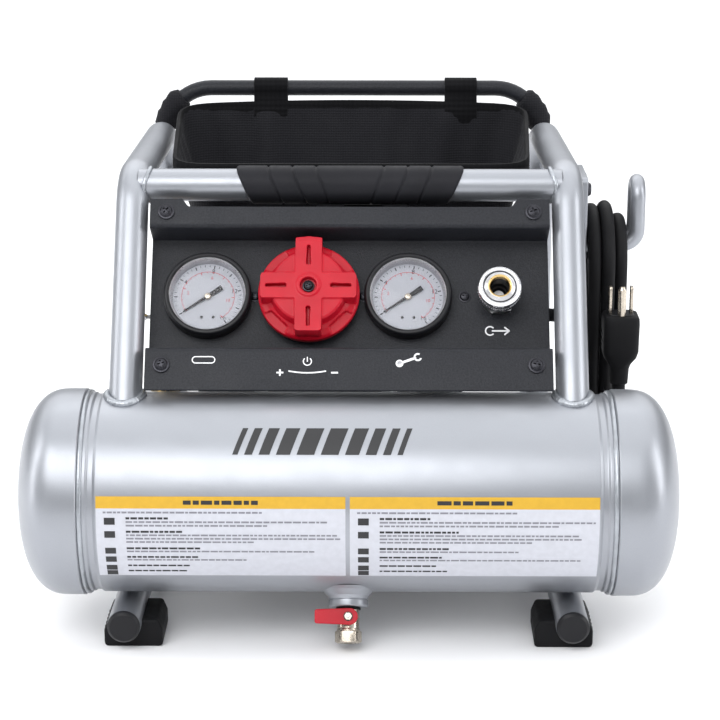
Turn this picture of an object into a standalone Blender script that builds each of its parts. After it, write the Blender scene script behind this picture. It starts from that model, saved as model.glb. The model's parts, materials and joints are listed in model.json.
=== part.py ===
"""Portable twin-frame air compressor: a horizontal tank between two bent side tubes, with a leaning
control panel, a direct-drive piston pump on a rear deck, a tool bag on a rail and a cord on a hook.

Metres, +Z up. The front faces -Y. The origin is under the middle of the whole object, on the floor.
Depths are given as distances behind the tank's axis, and behind() turns them into Y."""

import math

import bmesh
import bpy
from mathutils import Matrix, Vector

# Driving sizes
TANK_RADIUS = 0.0575
TANK_WALL = 0.002
TANK_HALF_LENGTH = 0.1883
TANK_HEIGHT = 0.083  # of the tank's axis
SKIRT_RADIUS = 0.0593  # a head's skirt laps over the shell
SKIRT_START = 0.150
DOME_START = 0.160
TUBE_RADIUS = 0.0095
TUBE_WALL = 0.0015
FRAME_X_FRONT = 0.1275
FRAME_X_REAR = 0.1230
TOP_RUN_HEIGHT = 0.2505
FOOT_TUBE_HEIGHT = 0.0155
FOOT_TUBE_FRONT = -0.039
REAR_LEG = 0.246
FRONT_BEND = 0.030
REAR_BEND = 0.038
LEAN = math.radians(34.5)  # of the uprights and the panel, from the vertical
ROOT_HEIGHT = 0.141  # where the lean line leaves the top of the tank
GAP = 0.0003
TANK_Y = (SKIRT_RADIUS - REAR_LEG - TUBE_RADIUS) / 2

# Control panel, in its own frame: x across, v up the lean, n out towards the user
PANEL_HALF_WIDTH = 0.116
PANEL_HEIGHT = 0.117
PANEL_SHEET = 0.002
FLANGE_FACE = 0.009
MAIN_FACE = -0.012
LOWER_FLANGE_TOP = 0.026
UPPER_FLANGE_BOTTOM = 0.099
ROW = 0.063  # the instruments' common line, up the lean
TANK_GAUGE_X = -0.0825
TOOL_GAUGE_X = 0.034
KNOB_X = -0.0235
COUPLER_X = 0.0865
GAUGE_RADIUS = 0.0255
KNOB_RADIUS = 0.0294
PANEL_SCREW_X = 0.1065
PANEL_SCREW_ROWS = (0.0150, 0.1085)
MANIFOLD_BACK = 0.054
MANIFOLD_FRONT = 0.036

ROCKER_TILT = math.radians(9)  # at off

HANDLE_BEHIND = 0.0760
HANDLE_HEIGHT = 0.2470
GRIP_RADIUS = 0.0114
GRIP_HALF = 0.065
GRIP_SLANT = 0.42  # of its ends

# Drain, pointing down and forward out of the tank
DRAIN_TILT = math.radians(27)
DRAIN_PIVOT = 0.0725  # distance of the ball from the tank's axis

# Pump, on the rear deck
MOTOR_BEHIND = 0.152
MOTOR_HEIGHT = 0.088
MOTOR_RADIUS = 0.042
CRANK_X = 0.0525
CRANK_THROW = 0.006
ECCENTRIC_RADIUS = 0.0108
BIG_END_INNER = 0.0234
BIG_END_OUTER = 0.0256
DECK_BOTTOM = 0.0253
DECK_TOP = 0.0278

# Cord, hook and bag
CORD_RADIUS = 0.004
HOOK_ROD = 0.0045
HOOK_X = 0.1730
HOOK_RODS = (0.105, 0.123)  # how far each rod is behind the tank's axis
HANK_X = (0.1420, 0.1662)
HANK_BOTTOM = 0.094
HANK_TOP = 0.2292
HANK_HALF_DEPTH = 0.036
PLUG_AT = (0.1600, 0.062)
RAIL_RADIUS = 0.005
RAIL_BEHIND = 0.238
RAIL_HEIGHT = 0.278
RAIL_X = 0.1225
RAIL_BEND = 0.030

BAG_WALL = 0.003


def behind(distance):
    return TANK_Y + distance


def at(x, distance, z):
    return Vector((x, behind(distance), z))


def clear_scene():
    for old in list(bpy.data.objects):
        bpy.data.objects.remove(old)


def collection(name, shown=True):
    made = bpy.data.collections.new(name)
    bpy.context.scene.collection.children.link(made)
    made.hide_render = not shown
    return made


clear_scene()
PARTS = collection("air_compressor")
CUTTERS = collection("cutters", shown=False)


def material(name, colour, roughness, metallic=0.0):
    made = bpy.data.materials.new(name)
    made.use_nodes = True
    shader = made.node_tree.nodes["Principled BSDF"]
    shader.inputs["Base Color"].default_value = (*colour, 1)
    shader.inputs["Roughness"].default_value = roughness
    shader.inputs["Metallic"].default_value = metallic
    made.diffuse_color = (*colour, 1)
    return made


SILVER = material("silver_paint", (0.50, 0.53, 0.58), 0.32, 0.6)
STEEL = material("bare_steel", (0.55, 0.55, 0.56), 0.35, 1.0)
ALUMINIUM = material("cast_aluminium", (0.62, 0.63, 0.65), 0.45, 1.0)
BRASS = material("brass", (0.72, 0.52, 0.22), 0.30, 1.0)
CHROME = material("chrome", (0.80, 0.80, 0.82), 0.12, 1.0)
PANEL_BLACK = material("panel_black", (0.035, 0.037, 0.042), 0.45)
PLASTIC = material("black_plastic", (0.020, 0.020, 0.022), 0.50)
RUBBER = material("black_rubber", (0.018, 0.018, 0.019), 0.75)
RED = material("red_plastic", (0.62, 0.010, 0.035), 0.40)
FABRIC = material("black_fabric", (0.018, 0.018, 0.021), 0.90)
GLASS = material("clear_lens", (0.95, 0.97, 0.98), 0.05)
COPPER = material("copper_windings", (0.55, 0.25, 0.12), 0.40, 1.0)


def add(name, data, finish=None, helper=False):
    """An object of this data, as a part or, with helper, as a cutter that stays out of the model."""
    made = bpy.data.objects.new(name, data)
    (CUTTERS if helper else PARTS).objects.link(made)
    if helper:
        made.hide_render = True
        made.display_type = "WIRE"
    if finish:
        data.materials.append(finish)
    return made


def place(obj, location=(0, 0, 0), rotation=(0, 0, 0), parent=None):
    obj.location = location
    obj.rotation_euler = rotation
    obj.parent = parent
    return obj


def smooth(obj, degrees=40):
    obj.data.shade_smooth()
    obj.data.set_sharp_from_angle(angle=math.radians(degrees))
    return obj


def bevel(obj, width, segments=2, degrees=35):
    made = obj.modifiers.new("bevel", "BEVEL")
    made.width = width
    made.segments = segments
    made.limit_method = "ANGLE"
    made.angle_limit = math.radians(degrees)
    return obj


def combine(obj, other, operation):
    made = obj.modifiers.new(operation.lower(), "BOOLEAN")
    made.operation = operation
    made.solver = "EXACT"
    made.object = other
    return obj


def cut(obj, *cutters):
    for cutter in cutters:
        combine(obj, cutter, "DIFFERENCE")
    return obj


def join(obj, *others):
    for other in others:
        combine(obj, other, "UNION")
    return obj


def box(name, size, finish=None, helper=False):
    """A box about its object's origin."""
    mesh = bpy.data.meshes.new(name)
    shape = bmesh.new()
    bmesh.ops.create_cube(shape, size=1)
    bmesh.ops.scale(shape, vec=size, verts=shape.verts)
    shape.to_mesh(mesh)
    shape.free()
    return add(name, mesh, finish, helper)


def cylinder(name, radius, depth, finish=None, helper=False, segments=24, top=None):
    """A cylinder, or with top a cone, along its object's Z and about its origin."""
    mesh = bpy.data.meshes.new(name)
    shape = bmesh.new()
    bmesh.ops.create_cone(
        shape,
        cap_ends=True,
        segments=segments,
        radius1=radius,
        radius2=radius if top is None else top,
        depth=depth,
    )
    shape.to_mesh(mesh)
    shape.free()
    made = add(name, mesh, finish, helper)
    return smooth(made)


def sphere(name, radius, finish=None, helper=False):
    mesh = bpy.data.meshes.new(name)
    shape = bmesh.new()
    bmesh.ops.create_uvsphere(shape, u_segments=14, v_segments=8, radius=radius)
    shape.to_mesh(mesh)
    shape.free()
    return smooth(add(name, mesh, finish, helper))


def turned(name, profile, finish=None, steps=24, closed=False, helper=False):
    """A (radius, height) profile turned about the object's Z. It runs down its outer side."""
    mesh = bpy.data.meshes.new(name)
    count = len(profile)
    edges = [(i, (i + 1) % count) for i in range(count if closed else count - 1)]
    mesh.from_pydata([(r, 0, z) for r, z in profile], edges, [])
    made = add(name, mesh, finish, helper)
    screw = made.modifiers.new("turn", "SCREW")
    screw.axis = "Z"
    screw.steps = steps
    screw.render_steps = steps
    screw.use_merge_vertices = True
    screw.merge_threshold = 0.00001
    screw.use_smooth_shade = True
    return made


def bent(corners, radii, steps=6):
    """Points along straight runs whose corners are arcs, of one radius or of one each."""
    if isinstance(radii, float):
        radii = [radii] * (len(corners) - 2)
    points = [Vector(corners[0])]
    for before, corner, after, radius in zip(corners, corners[1:], corners[2:], radii):
        corner = Vector(corner)
        into = (corner - Vector(before)).normalized()
        out = (Vector(after) - corner).normalized()
        turn = into.angle(out)
        if turn < 0.01:
            points.append(corner)
            continue
        reach = radius * math.tan(turn / 2)
        centre = corner + (out - into).normalized() * radius / math.cos(turn / 2)
        start = corner - into * reach - centre
        axis = into.cross(out).normalized()
        for i in range(steps + 1):
            points.append(centre + Matrix.Rotation(turn * i / steps, 3, axis) @ start)
    points.append(Vector(corners[-1]))
    return points


def curve_through(route, spacing):
    """Points a set distance apart along a smooth curve through the route's points."""
    knots = [Vector(p) for p in route]
    knots = [2 * knots[0] - knots[1], *knots, 2 * knots[-1] - knots[-2]]
    points = []
    for a, b, c, d in zip(knots, knots[1:], knots[2:], knots[3:]):
        pieces = max(1, round((c - b).length / spacing))
        for i in range(pieces):
            t = i / pieces
            pull = (2 * b) + (c - a) * t + (2 * a - 5 * b + 4 * c - d) * t * t
            points.append((pull + (3 * b - a - 3 * c + d) * t**3) / 2)
    points.append(knots[-2])
    return points


def tube(name, points, radius, finish=None, sides=12, helper=False):
    """A round rod through the points, as a curve with a bevel."""
    curve = bpy.data.curves.new(name, "CURVE")
    curve.dimensions = "3D"
    curve.bevel_depth = radius
    curve.bevel_resolution = (sides - 4) // 2
    curve.use_fill_caps = True
    spline = curve.splines.new("POLY")
    spline.points.add(len(points) - 1)
    for spot, point in zip(spline.points, points):
        spot.co = (*point, 1)
    return add(name, curve, finish, helper)


def flat_outline(name, points, thickness, finish=None, helper=False):
    """A flat outline in the object's XY plane, thickened evenly to both sides."""
    curve = bpy.data.curves.new(name, "CURVE")
    curve.dimensions = "2D"
    curve.fill_mode = "BOTH"
    curve.extrude = thickness / 2
    spline = curve.splines.new("POLY")
    spline.points.add(len(points) - 1)
    for spot, (x, y) in zip(spline.points, points):
        spot.co = (x, y, 0, 1)
    spline.use_cyclic_u = True
    return add(name, curve, finish, helper)


def as_mesh(obj, helper=False):
    """The curve object made a mesh with its caps welded, under the same name."""
    bpy.context.view_layer.update()
    graph = bpy.context.evaluated_depsgraph_get()
    mesh = bpy.data.meshes.new_from_object(obj.evaluated_get(graph))
    shape = bmesh.new()
    shape.from_mesh(mesh)
    bmesh.ops.remove_doubles(shape, verts=shape.verts, dist=0.00001)
    bmesh.ops.recalc_face_normals(shape, faces=shape.faces)
    shape.to_mesh(mesh)
    shape.free()
    name = obj.name
    place_in_world = obj.matrix_world.copy()
    bpy.data.objects.remove(obj)
    made = add(name, mesh, None, helper)
    made.matrix_world = place_in_world
    return smooth(made)


def ring_profile(outer, inner, top, bottom):
    return [(inner, top), (outer, top), (outer, bottom), (inner, bottom)]


ALONG_X = (0, math.pi / 2, 0)
ALONG_MINUS_X = (0, -math.pi / 2, 0)


# Tank


def quarter_dome(radius, start, length, power, count):
    """(radius, height) points from the tip of a dome down to its rim."""
    points = []
    for i in range(count + 1):
        angle = math.pi / 2 * (1 - i / count)
        r = radius * max(0.0, math.cos(angle)) ** (2 / power) if i else 0.0
        points.append((r, start + length * math.sin(angle) ** (2 / power)))
    return points


def tank():
    shell = turned(
        "tank_shell",
        ring_profile(TANK_RADIUS, TANK_RADIUS - TANK_WALL, 0.1555, -0.1555),
        SILVER,
        steps=32,
        closed=True,
    )
    place(shell, at(0, 0, TANK_HEIGHT), ALONG_X)
    port = cylinder("drain_port", 0.005, 0.03, helper=True, segments=12)
    place(port, drain_point(TANK_RADIUS), drain_rotation())
    valve_port = cylinder("valve_port", 0.004, 0.03, helper=True, segments=12)
    spot, turn = check_valve_pose()
    place(valve_port, spot, turn)
    cut(shell, port, valve_port)
    length = TANK_HALF_LENGTH - DOME_START
    outer = quarter_dome(SKIRT_RADIUS, DOME_START, length, 2.5, 6)
    inner_radius = TANK_RADIUS + GAP
    inner = quarter_dome(inner_radius, DOME_START, length - TANK_WALL, 2.5, 4)
    profile = [*outer, (SKIRT_RADIUS, SKIRT_START), (inner_radius, SKIRT_START), *inner[::-1]]
    for name, turn in (("tank_head_right", ALONG_X), ("tank_head_left", ALONG_MINUS_X)):
        head = turned(name, profile, SILVER, steps=32)
        place(head, at(0, 0, TANK_HEIGHT), turn)


# Drain: a boss, a ball valve and its lever


def drain_point(distance):
    """A point on the drain's axis, this far from the tank's axis."""
    return at(0, -distance * math.sin(DRAIN_TILT), TANK_HEIGHT - distance * math.cos(DRAIN_TILT))


def drain_rotation():
    """Turns local Z along the drain, out of the tank, and keeps X."""
    return (math.pi - DRAIN_TILT, 0, 0)


def drain():
    axis = bpy.data.objects.new("drain_axis", None)
    PARTS.objects.link(axis)
    place(axis, drain_point(DRAIN_PIVOT), drain_rotation())

    boss = turned(
        "drain_boss",
        [(0.0045, -0.006), (0.0118, -0.006), (0.0145, -0.018), (0.0045, -0.018)],
        SILVER,
        steps=24,
        closed=True,
    )
    place(boss, parent=axis)
    around = cylinder("boss_seat", TANK_RADIUS + GAP, 0.06, helper=True, segments=72)
    place(around, at(0, 0, TANK_HEIGHT), ALONG_X)
    cut(boss, around)

    chamber = 0.0053
    bore = 0.0028
    dip = math.asin(bore / chamber)
    arc = [
        (chamber * math.sin(a), chamber * math.cos(a))
        for a in [dip + (math.pi - 2 * dip) * i / 6 for i in range(7)]
    ]
    body = turned(
        "drain_valve_body",
        [
            (0.0074, 0.0145),
            (0.0074, 0.0078),
            (0.0063, 0.0070),
            (0.0063, -0.0057),
            (bore, -0.0057),
            *arc[::-1],
            (bore, 0.0145),
        ],
        BRASS,
        steps=20,
        closed=True,
    )
    place(body, parent=axis)
    stem_hole = cylinder("stem_hole", 0.0021, 0.010, helper=True, segments=14)
    place(stem_hole, (0, 0.008, 0), (math.pi / 2, 0, 0), axis)
    cut(body, stem_hole)

    ball = sphere("drain_ball", 0.0049, CHROME)
    place(ball, parent=axis)
    through = cylinder("ball_bore", 0.0026, 0.02, helper=True, segments=14)
    place(through, (0, 0, 0), ALONG_X, axis)
    flat = box("ball_flat", (0.02, 0.004, 0.02), helper=True)
    place(flat, (0, 0.0058, 0), parent=axis)
    cut(ball, through, flat)

    lever = box("drain_lever", (0.0199, 0.0022, 0.0084), RED)
    place(lever, (-0.0090, 0.0104, 0), parent=axis)
    head = cylinder("lever_head", 0.0047, 0.0022, helper=True)
    place(head, (0.0008, 0.0104, 0), (math.pi / 2, 0, 0), axis)
    stem = cylinder("lever_stem", 0.0017, 0.0060, helper=True, segments=14)
    place(stem, (0, 0.0071, 0), (math.pi / 2, 0, 0), axis)
    join(bevel(lever, 0.0007, 1), head, stem)


# Side frames, handle and feet


def frame_x(distance):
    """The side tubes draw in a little towards the rear."""
    start = HANDLE_BEHIND
    share = min(1.0, max(0.0, (distance - start) / (REAR_LEG - start)))
    return FRAME_X_FRONT + (FRAME_X_REAR - FRAME_X_FRONT) * share


def frame_points(side, start=-0.004, front=FOOT_TUBE_FRONT):
    """One side tube, from inside the tank's top, back, down and forward to its foot."""
    crest = (TOP_RUN_HEIGHT - ROOT_HEIGHT) * math.tan(LEAN)
    stations = [
        (start * math.tan(LEAN), ROOT_HEIGHT + start, 1),
        (crest, TOP_RUN_HEIGHT, 1),
        (REAR_LEG, TOP_RUN_HEIGHT, 1),
        (REAR_LEG, FOOT_TUBE_HEIGHT, 1),
        (front, FOOT_TUBE_HEIGHT, 1),
    ]
    corners = [at(side * frame_x(d), d, z) for d, z, _ in stations]
    return bent(corners, (FRONT_BEND, REAR_BEND, REAR_BEND), 5)


def side_frame(name, side):
    outer = as_mesh(tube(name, frame_points(side), TUBE_RADIUS, SILVER, sides=16))
    points = frame_points(side, start=-0.03, front=FOOT_TUBE_FRONT - 0.02)
    bore = tube(name + "_bore", points, TUBE_RADIUS - TUBE_WALL, sides=8, helper=True)
    bore = as_mesh(bore, helper=True)
    seat = cylinder(name + "_seat", TANK_RADIUS + GAP, 0.05, helper=True, segments=72)
    place(seat, at(side * FRAME_X_FRONT, 0, TANK_HEIGHT), ALONG_X)
    return cut(outer, bore, seat)


def frame_clearance(side):
    """A cutter round one side tube, a little larger than it."""
    points = frame_points(side, start=0.02)
    around = tube("frame_room", points, TUBE_RADIUS + 2 * GAP, sides=14, helper=True)
    return as_mesh(around, helper=True)


def foot_cap(name, side):
    cap = turned(
        name,
        [
            (0, 0.0032),
            (0.0080, 0.0032),
            (0.0094, 0.0018),
            (0.0094, 0),
            (0.0066, 0),
            (0.0066, -0.010),
            (0, -0.010),
        ],
        PLASTIC,
        steps=24,
    )
    x = side * frame_x(FOOT_TUBE_FRONT)
    place(cap, at(x, FOOT_TUBE_FRONT - GAP, FOOT_TUBE_HEIGHT), (math.pi / 2, 0, 0))


def rubber_foot(name, side, distance, room):
    """A block that wraps the lower half of a foot tube, wider on its inner side."""
    x = frame_x(distance)
    foot = box(name, (0.0335, 0.034, 0.0165), RUBBER)
    place(foot, at(side * (x - 0.0045), distance, 0.0165 / 2))
    bevel(foot, 0.0035, 2)
    return cut(foot, room)


def frames():
    rooms = {}
    for word, side in (("left", -1), ("right", 1)):
        side_frame("side_frame_" + word, side)
        rooms[side] = frame_clearance(side)
        foot_cap("foot_cap_" + word, side)
        rubber_foot("foot_front_" + word, side, -0.015, rooms[side])
        rubber_foot("foot_rear_" + word, side, 0.186, rooms[side])

    handle = turned(
        "handle_tube",
        ring_profile(TUBE_RADIUS, TUBE_RADIUS - TUBE_WALL, 0.1225, -0.1225),
        SILVER,
        steps=24,
        closed=True,
    )
    place(handle, at(0, HANDLE_BEHIND, HANDLE_HEIGHT), ALONG_X)
    cut(handle, rooms[-1], rooms[1])

    grip = turned(
        "handle_grip",
        ring_profile(GRIP_RADIUS, TUBE_RADIUS + GAP, GRIP_HALF, -GRIP_HALF),
        RUBBER,
        steps=24,
        closed=True,
    )
    place(grip, at(0, HANDLE_BEHIND, HANDLE_HEIGHT), ALONG_X)
    for side in (-1, 1):
        slant = box("grip_slant", (0.02, 0.05, 0.05), helper=True)
        end = at(side * (GRIP_HALF + 0.0055), HANDLE_BEHIND, HANDLE_HEIGHT)
        place(slant, end, (0, side * GRIP_SLANT, 0))
        cut(grip, slant)
    return rooms


# Control panel and what it carries


def panel_frame():
    """An empty whose Y runs up the lean and whose Z faces the user."""
    frame = bpy.data.objects.new("panel_frame", None)
    PARTS.objects.link(frame)
    place(frame, at(0, 0, ROOT_HEIGHT), (math.pi / 2 - LEAN, 0, 0))
    return frame


def panel_profile():
    """The folded sheet's section as (v, n) points: two flanges and a set-back main face."""
    back = PANEL_SHEET
    return [
        (0, FLANGE_FACE),
        (0, FLANGE_FACE - back),
        (LOWER_FLANGE_TOP - back, FLANGE_FACE - back),
        (LOWER_FLANGE_TOP - back, MAIN_FACE - back),
        (UPPER_FLANGE_BOTTOM + back, MAIN_FACE - back),
        (UPPER_FLANGE_BOTTOM + back, FLANGE_FACE - back),
        (PANEL_HEIGHT, FLANGE_FACE - back),
        (PANEL_HEIGHT, FLANGE_FACE),
        (UPPER_FLANGE_BOTTOM, FLANGE_FACE),
        (UPPER_FLANGE_BOTTOM, MAIN_FACE),
        (LOWER_FLANGE_TOP, MAIN_FACE),
        (LOWER_FLANGE_TOP, FLANGE_FACE),
    ]


def control_panel(frame):
    sheet = flat_outline("control_panel", panel_profile(), 2 * PANEL_HALF_WIDTH, PANEL_BLACK)
    turn = Matrix(((0, 0, 1), (1, 0, 0), (0, 1, 0))).to_euler()
    place(sheet, (0, 0, 0), turn, frame)
    panel = as_mesh(sheet)
    notch = flat_outline(
        "panel_notch",
        [(-0.094, 0.0), (0.094, 0.0), (0.102, 0.012), (-0.102, 0.012)],
        0.02,
        helper=True,
    )
    place(notch, (0, 0.112, FLANGE_FACE), parent=frame)
    cut(panel, as_mesh(notch, helper=True))
    holes = (
        ("tank_gauge_hole", TANK_GAUGE_X, 0.0244),
        ("tool_gauge_hole", TOOL_GAUGE_X, 0.0244),
        ("knob_hole", KNOB_X, 0.0115),
        ("coupler_hole", COUPLER_X, 0.0080),
    )
    for name, x, radius in holes:
        hole = cylinder(name, radius, 0.012, helper=True)
        place(hole, (x, ROW, MAIN_FACE), parent=frame)
        cut(panel, hole)
    for word, side in (("left", -1), ("right", 1)):
        for height, v in zip(("lower", "upper"), PANEL_SCREW_ROWS):
            hole = cylinder("screw_hole", 0.0024, 0.02, helper=True, segments=12)
            place(hole, (side * PANEL_SCREW_X, v, FLANGE_FACE), parent=frame)
            cut(panel, hole)
            panel_screw(f"panel_screw_{height}_{word}", side * PANEL_SCREW_X, v, frame)


def panel_screw(name, x, v, frame):
    """A pan-head screw, its shank through the flange."""
    screw = turned(
        name,
        [
            (0, 0.0030),
            (0.0026, 0.0028),
            (0.0044, 0.0016),
            (0.0048, 0.0004),
            (0.0020, 0.0004),
            (0.0020, -0.008),
            (0, -0.008),
        ],
        STEEL,
        steps=14,
    )
    place(screw, (x, v, FLANGE_FACE), parent=frame)


def gauge(word, x, frame):
    """A dial gauge: a cup with its dial at the bottom, a pointer on the axis and a flat lens."""
    seat = (x, ROW, MAIN_FACE)
    case = turned(
        word + "_gauge_case",
        [
            (0, 0.0015),
            (0.0226, 0.0015),
            (0.0226, 0.0088),
            (0.0240, 0.0092),
            (GAUGE_RADIUS, 0.0080),
            (GAUGE_RADIUS, GAP),
            (0.0240, GAP),
            (0.0240, -0.0200),
            (0.0050, -0.0205),
            (0.0050, -0.0237),
            (0, -0.0237),
        ],
        PLASTIC,
    )
    place(case, seat, parent=frame)
    lens = cylinder(word + "_gauge_lens", 0.0222, 0.0012, GLASS, segments=28)
    place(lens, (x, ROW, MAIN_FACE + 0.0076), parent=frame)

    pivot = bpy.data.objects.new(word + "_gauge_axis", None)
    PARTS.objects.link(pivot)
    place(pivot, (x, ROW, MAIN_FACE + 0.0032), (0, 0, math.radians(214)), frame)
    needle = flat_outline(
        word + "_gauge_pointer",
        [
            (-0.0090, -0.0010),
            (-0.0090, 0.0010),
            (0, 0.0012),
            (0.0165, 0.0002),
            (0.0165, -0.0002),
            (0, -0.0012),
        ],
        0.0008,
        PLASTIC,
    )
    needle = as_mesh(place(needle, parent=pivot))
    hub = cylinder(word + "_gauge_hub", 0.0024, 0.0018, helper=True, segments=14)
    place(hub, parent=pivot)
    join(needle, hub)


def regulator(frame):
    body = turned(
        "regulator_body",
        [
            (0, 0.0042),
            (0.0085, 0.0042),
            (0.0085, -0.0045),
            (0.0180, -0.0060),
            (0.0200, -0.0100),
            (0.0200, -0.0237),
            (0, -0.0237),
        ],
        ALUMINIUM,
    )
    place(body, (KNOB_X, ROW, MAIN_FACE), parent=frame)

    knob = turned(
        "regulator_knob",
        [
            (0, 0.0220),
            (0.0190, 0.0220),
            (0.0245, 0.0165),
            (0.0262, 0.0130),
            (0.0282, 0.0120),
            (KNOB_RADIUS, 0.0100),
            (KNOB_RADIUS, 0.0060),
            (0.0282, 0.0046),
            (0, 0.0046),
        ],
        RED,
        steps=28,
    )
    place(knob, (KNOB_X, ROW, MAIN_FACE), parent=frame)
    for turn in (0, math.pi / 2):
        bar = box("knob_bar", (0.0440, 0.0125, 0.0160), helper=True)
        place(bar, (KNOB_X, ROW, MAIN_FACE + 0.0210), (0, 0, turn + math.pi / 4), frame)
        bevel(bar, 0.002, 2)
        join(knob, bar)
    tab = box("knob_tab", (0.0150, 0.0060, 0.0050), helper=True)
    place(tab, (KNOB_X, ROW + KNOB_RADIUS - 0.0005, MAIN_FACE + 0.0080), parent=frame)
    join(knob, tab)


def manifold(frame):
    block = box("manifold", (0.192, 0.018, MANIFOLD_BACK - MANIFOLD_FRONT), ALUMINIUM)
    middle = (MANIFOLD_BACK + MANIFOLD_FRONT) / 2
    place(block, (0.001, ROW, -middle), parent=frame)
    bevel(block, 0.0015, 1)
    for port in (-0.096, 0.098):
        hole = cylinder("manifold_port", 0.003, 0.03, helper=True, segments=12)
        place(hole, (port, ROW, -middle), ALONG_X, frame)
        cut(block, hole)


def coupler(frame):
    """A quick coupler: a fixed body on a hexagon base, and the sprung sleeve that frees the plug."""
    mouth = 0.0054
    bore = 0.0043
    body = turned(
        "coupler_body",
        [
            (mouth, 0.0225),
            (0.0070, 0.0225),
            (0.0075, 0.0215),
            (0.0092, 0.0205),
            (0.0092, 0.0045),
            (0.0112, 0.0042),
            (0.0112, GAP),
            (0.0075, GAP),
            (0.0075, -0.0237),
            (bore, -0.0237),
            (bore, 0.0060),
            (mouth, 0.0080),
        ],
        CHROME,
        steps=20,
        closed=True,
    )
    place(body, (COUPLER_X, ROW, MAIN_FACE), parent=frame)
    sleeve = turned(
        "coupler_sleeve",
        [
            (0.0096, 0.0210),
            (0.0116, 0.0210),
            (0.0124, 0.0200),
            (0.0124, 0.0165),
            (0.0115, 0.0158),
            (0.0115, 0.0090),
            (0.0107, 0.0082),
            (0.0096, 0.0082),
        ],
        CHROME,
        steps=24,
        closed=True,
    )
    place(sleeve, (COUPLER_X, ROW, MAIN_FACE), parent=frame)


def relief(frame):
    """The safety valve on the manifold's left end, with the ring that lifts it by hand."""
    middle = -(MANIFOLD_BACK + MANIFOLD_FRONT) / 2
    valve = turned(
        "relief_valve",
        [
            (0.0018, 0.0230),
            (0.0048, 0.0230),
            (0.0055, 0.0215),
            (0.0055, 0.0100),
            (0.0072, 0.0090),
            (0.0072, 0.0004),
            (0.0018, 0.0004),
        ],
        BRASS,
        steps=20,
        closed=True,
    )
    place(valve, (-0.095, ROW, middle), ALONG_MINUS_X, frame)
    stem = cylinder("relief_ring", 0.0013, 0.0170, STEEL, segments=12)
    place(stem, (-0.1135, ROW, middle), ALONG_MINUS_X, frame)
    mesh_ring = turned(
        "pull_loop",
        [
            (0.0064 + 0.0009 * math.cos(a), 0.0009 * math.sin(a))
            for a in [math.pi / 2 - 2 * math.pi * i / 8 for i in range(8)]
        ],
        closed=True,
        steps=20,
        helper=True,
    )
    place(mesh_ring, (-0.1280, ROW, middle), (math.pi / 2, 0, 0), frame)
    join(stem, mesh_ring)


def power_switch():
    """The pressure switch box behind the panel's top, with the rocker that turns it on."""
    case = box("pressure_switch", (0.056, 0.019, 0.046), PLASTIC)
    place(case, at(0.0075, 0.0865, 0.2085))
    bevel(case, 0.002, 2)
    well = box("rocker_well", (0.0226, 0.0124, 0.0076), helper=True)
    place(well, at(0.0075, 0.0865, 0.2315))
    cut(case, well)
    rocker = cylinder("power_rocker", 0.0056, 0.0214, PLASTIC, segments=20)
    place(rocker, at(0.0075, 0.0865, 0.2339), ALONG_X)
    trim = box("rocker_trim", (0.03, 0.03, 0.01), helper=True)
    rise = 0.006  # of the trim's middle above the rocker's axis
    face = at(0.0075, 0.0865 - rise * math.sin(ROCKER_TILT), 0.2339 + rise * math.cos(ROCKER_TILT))
    place(trim, face, (ROCKER_TILT, 0, 0))
    cut(rocker, trim)


# Pump


def motor():
    plate = box("base_plate", (0.252, 0.134, DECK_TOP - DECK_BOTTOM), PANEL_BLACK)
    place(plate, at(0, 0.139, (DECK_TOP + DECK_BOTTOM) / 2))
    mount = box("motor_mount", (0.056, 0.062, 0.030), PANEL_BLACK)
    place(mount, at(-0.017, MOTOR_BEHIND, DECK_TOP + GAP + 0.015))
    saddle = cylinder("motor_saddle", MOTOR_RADIUS + GAP, 0.07, helper=True, segments=56)
    place(saddle, at(-0.017, MOTOR_BEHIND, MOTOR_HEIGHT), ALONG_X)
    cut(mount, saddle)

    axis = at(0, MOTOR_BEHIND, MOTOR_HEIGHT)
    inner = MOTOR_RADIUS - 0.003
    shaft_hole = 0.0044
    housing = turned(
        "motor_housing",
        [
            (shaft_hole, 0.0280),
            (0.0385, 0.0280),
            (MOTOR_RADIUS, 0.0245),
            (MOTOR_RADIUS, -0.0585),
            (0.0385, -0.0620),
            (shaft_hole, -0.0620),
            (shaft_hole, -0.0590),
            (inner, -0.0560),
            (inner, 0.0220),
            (shaft_hole, 0.0250),
        ],
        PLASTIC,
        steps=24,
        closed=True,
    )
    place(housing, axis, ALONG_X)
    stator = turned(
        "motor_stator",
        ring_profile(inner - GAP, 0.0244, 0.0050, -0.0450),
        COPPER,
        steps=24,
        closed=True,
    )
    place(stator, axis, ALONG_X)
    rotor = turned(
        "rotor_shaft",
        [
            (0, 0.0630),
            (0.0040, 0.0630),
            (0.0040, 0.0060),
            (0.0236, 0.0040),
            (0.0236, -0.0440),
            (0.0040, -0.0460),
            (0.0040, -0.0880),
            (0, -0.0880),
        ],
        STEEL,
        steps=24,
    )
    place(rotor, axis, ALONG_X)
    fan(axis)
    shroud = turned(
        "fan_shroud",
        [
            (0.0430, -0.0600),
            (0.0460, -0.0600),
            (0.0460, -0.0920),
            (0.0300, -0.0950),
            (0.0300, -0.0930),
            (0.0430, -0.0905),
        ],
        PLASTIC,
        steps=24,
        closed=True,
    )
    place(shroud, axis, ALONG_X)


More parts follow.
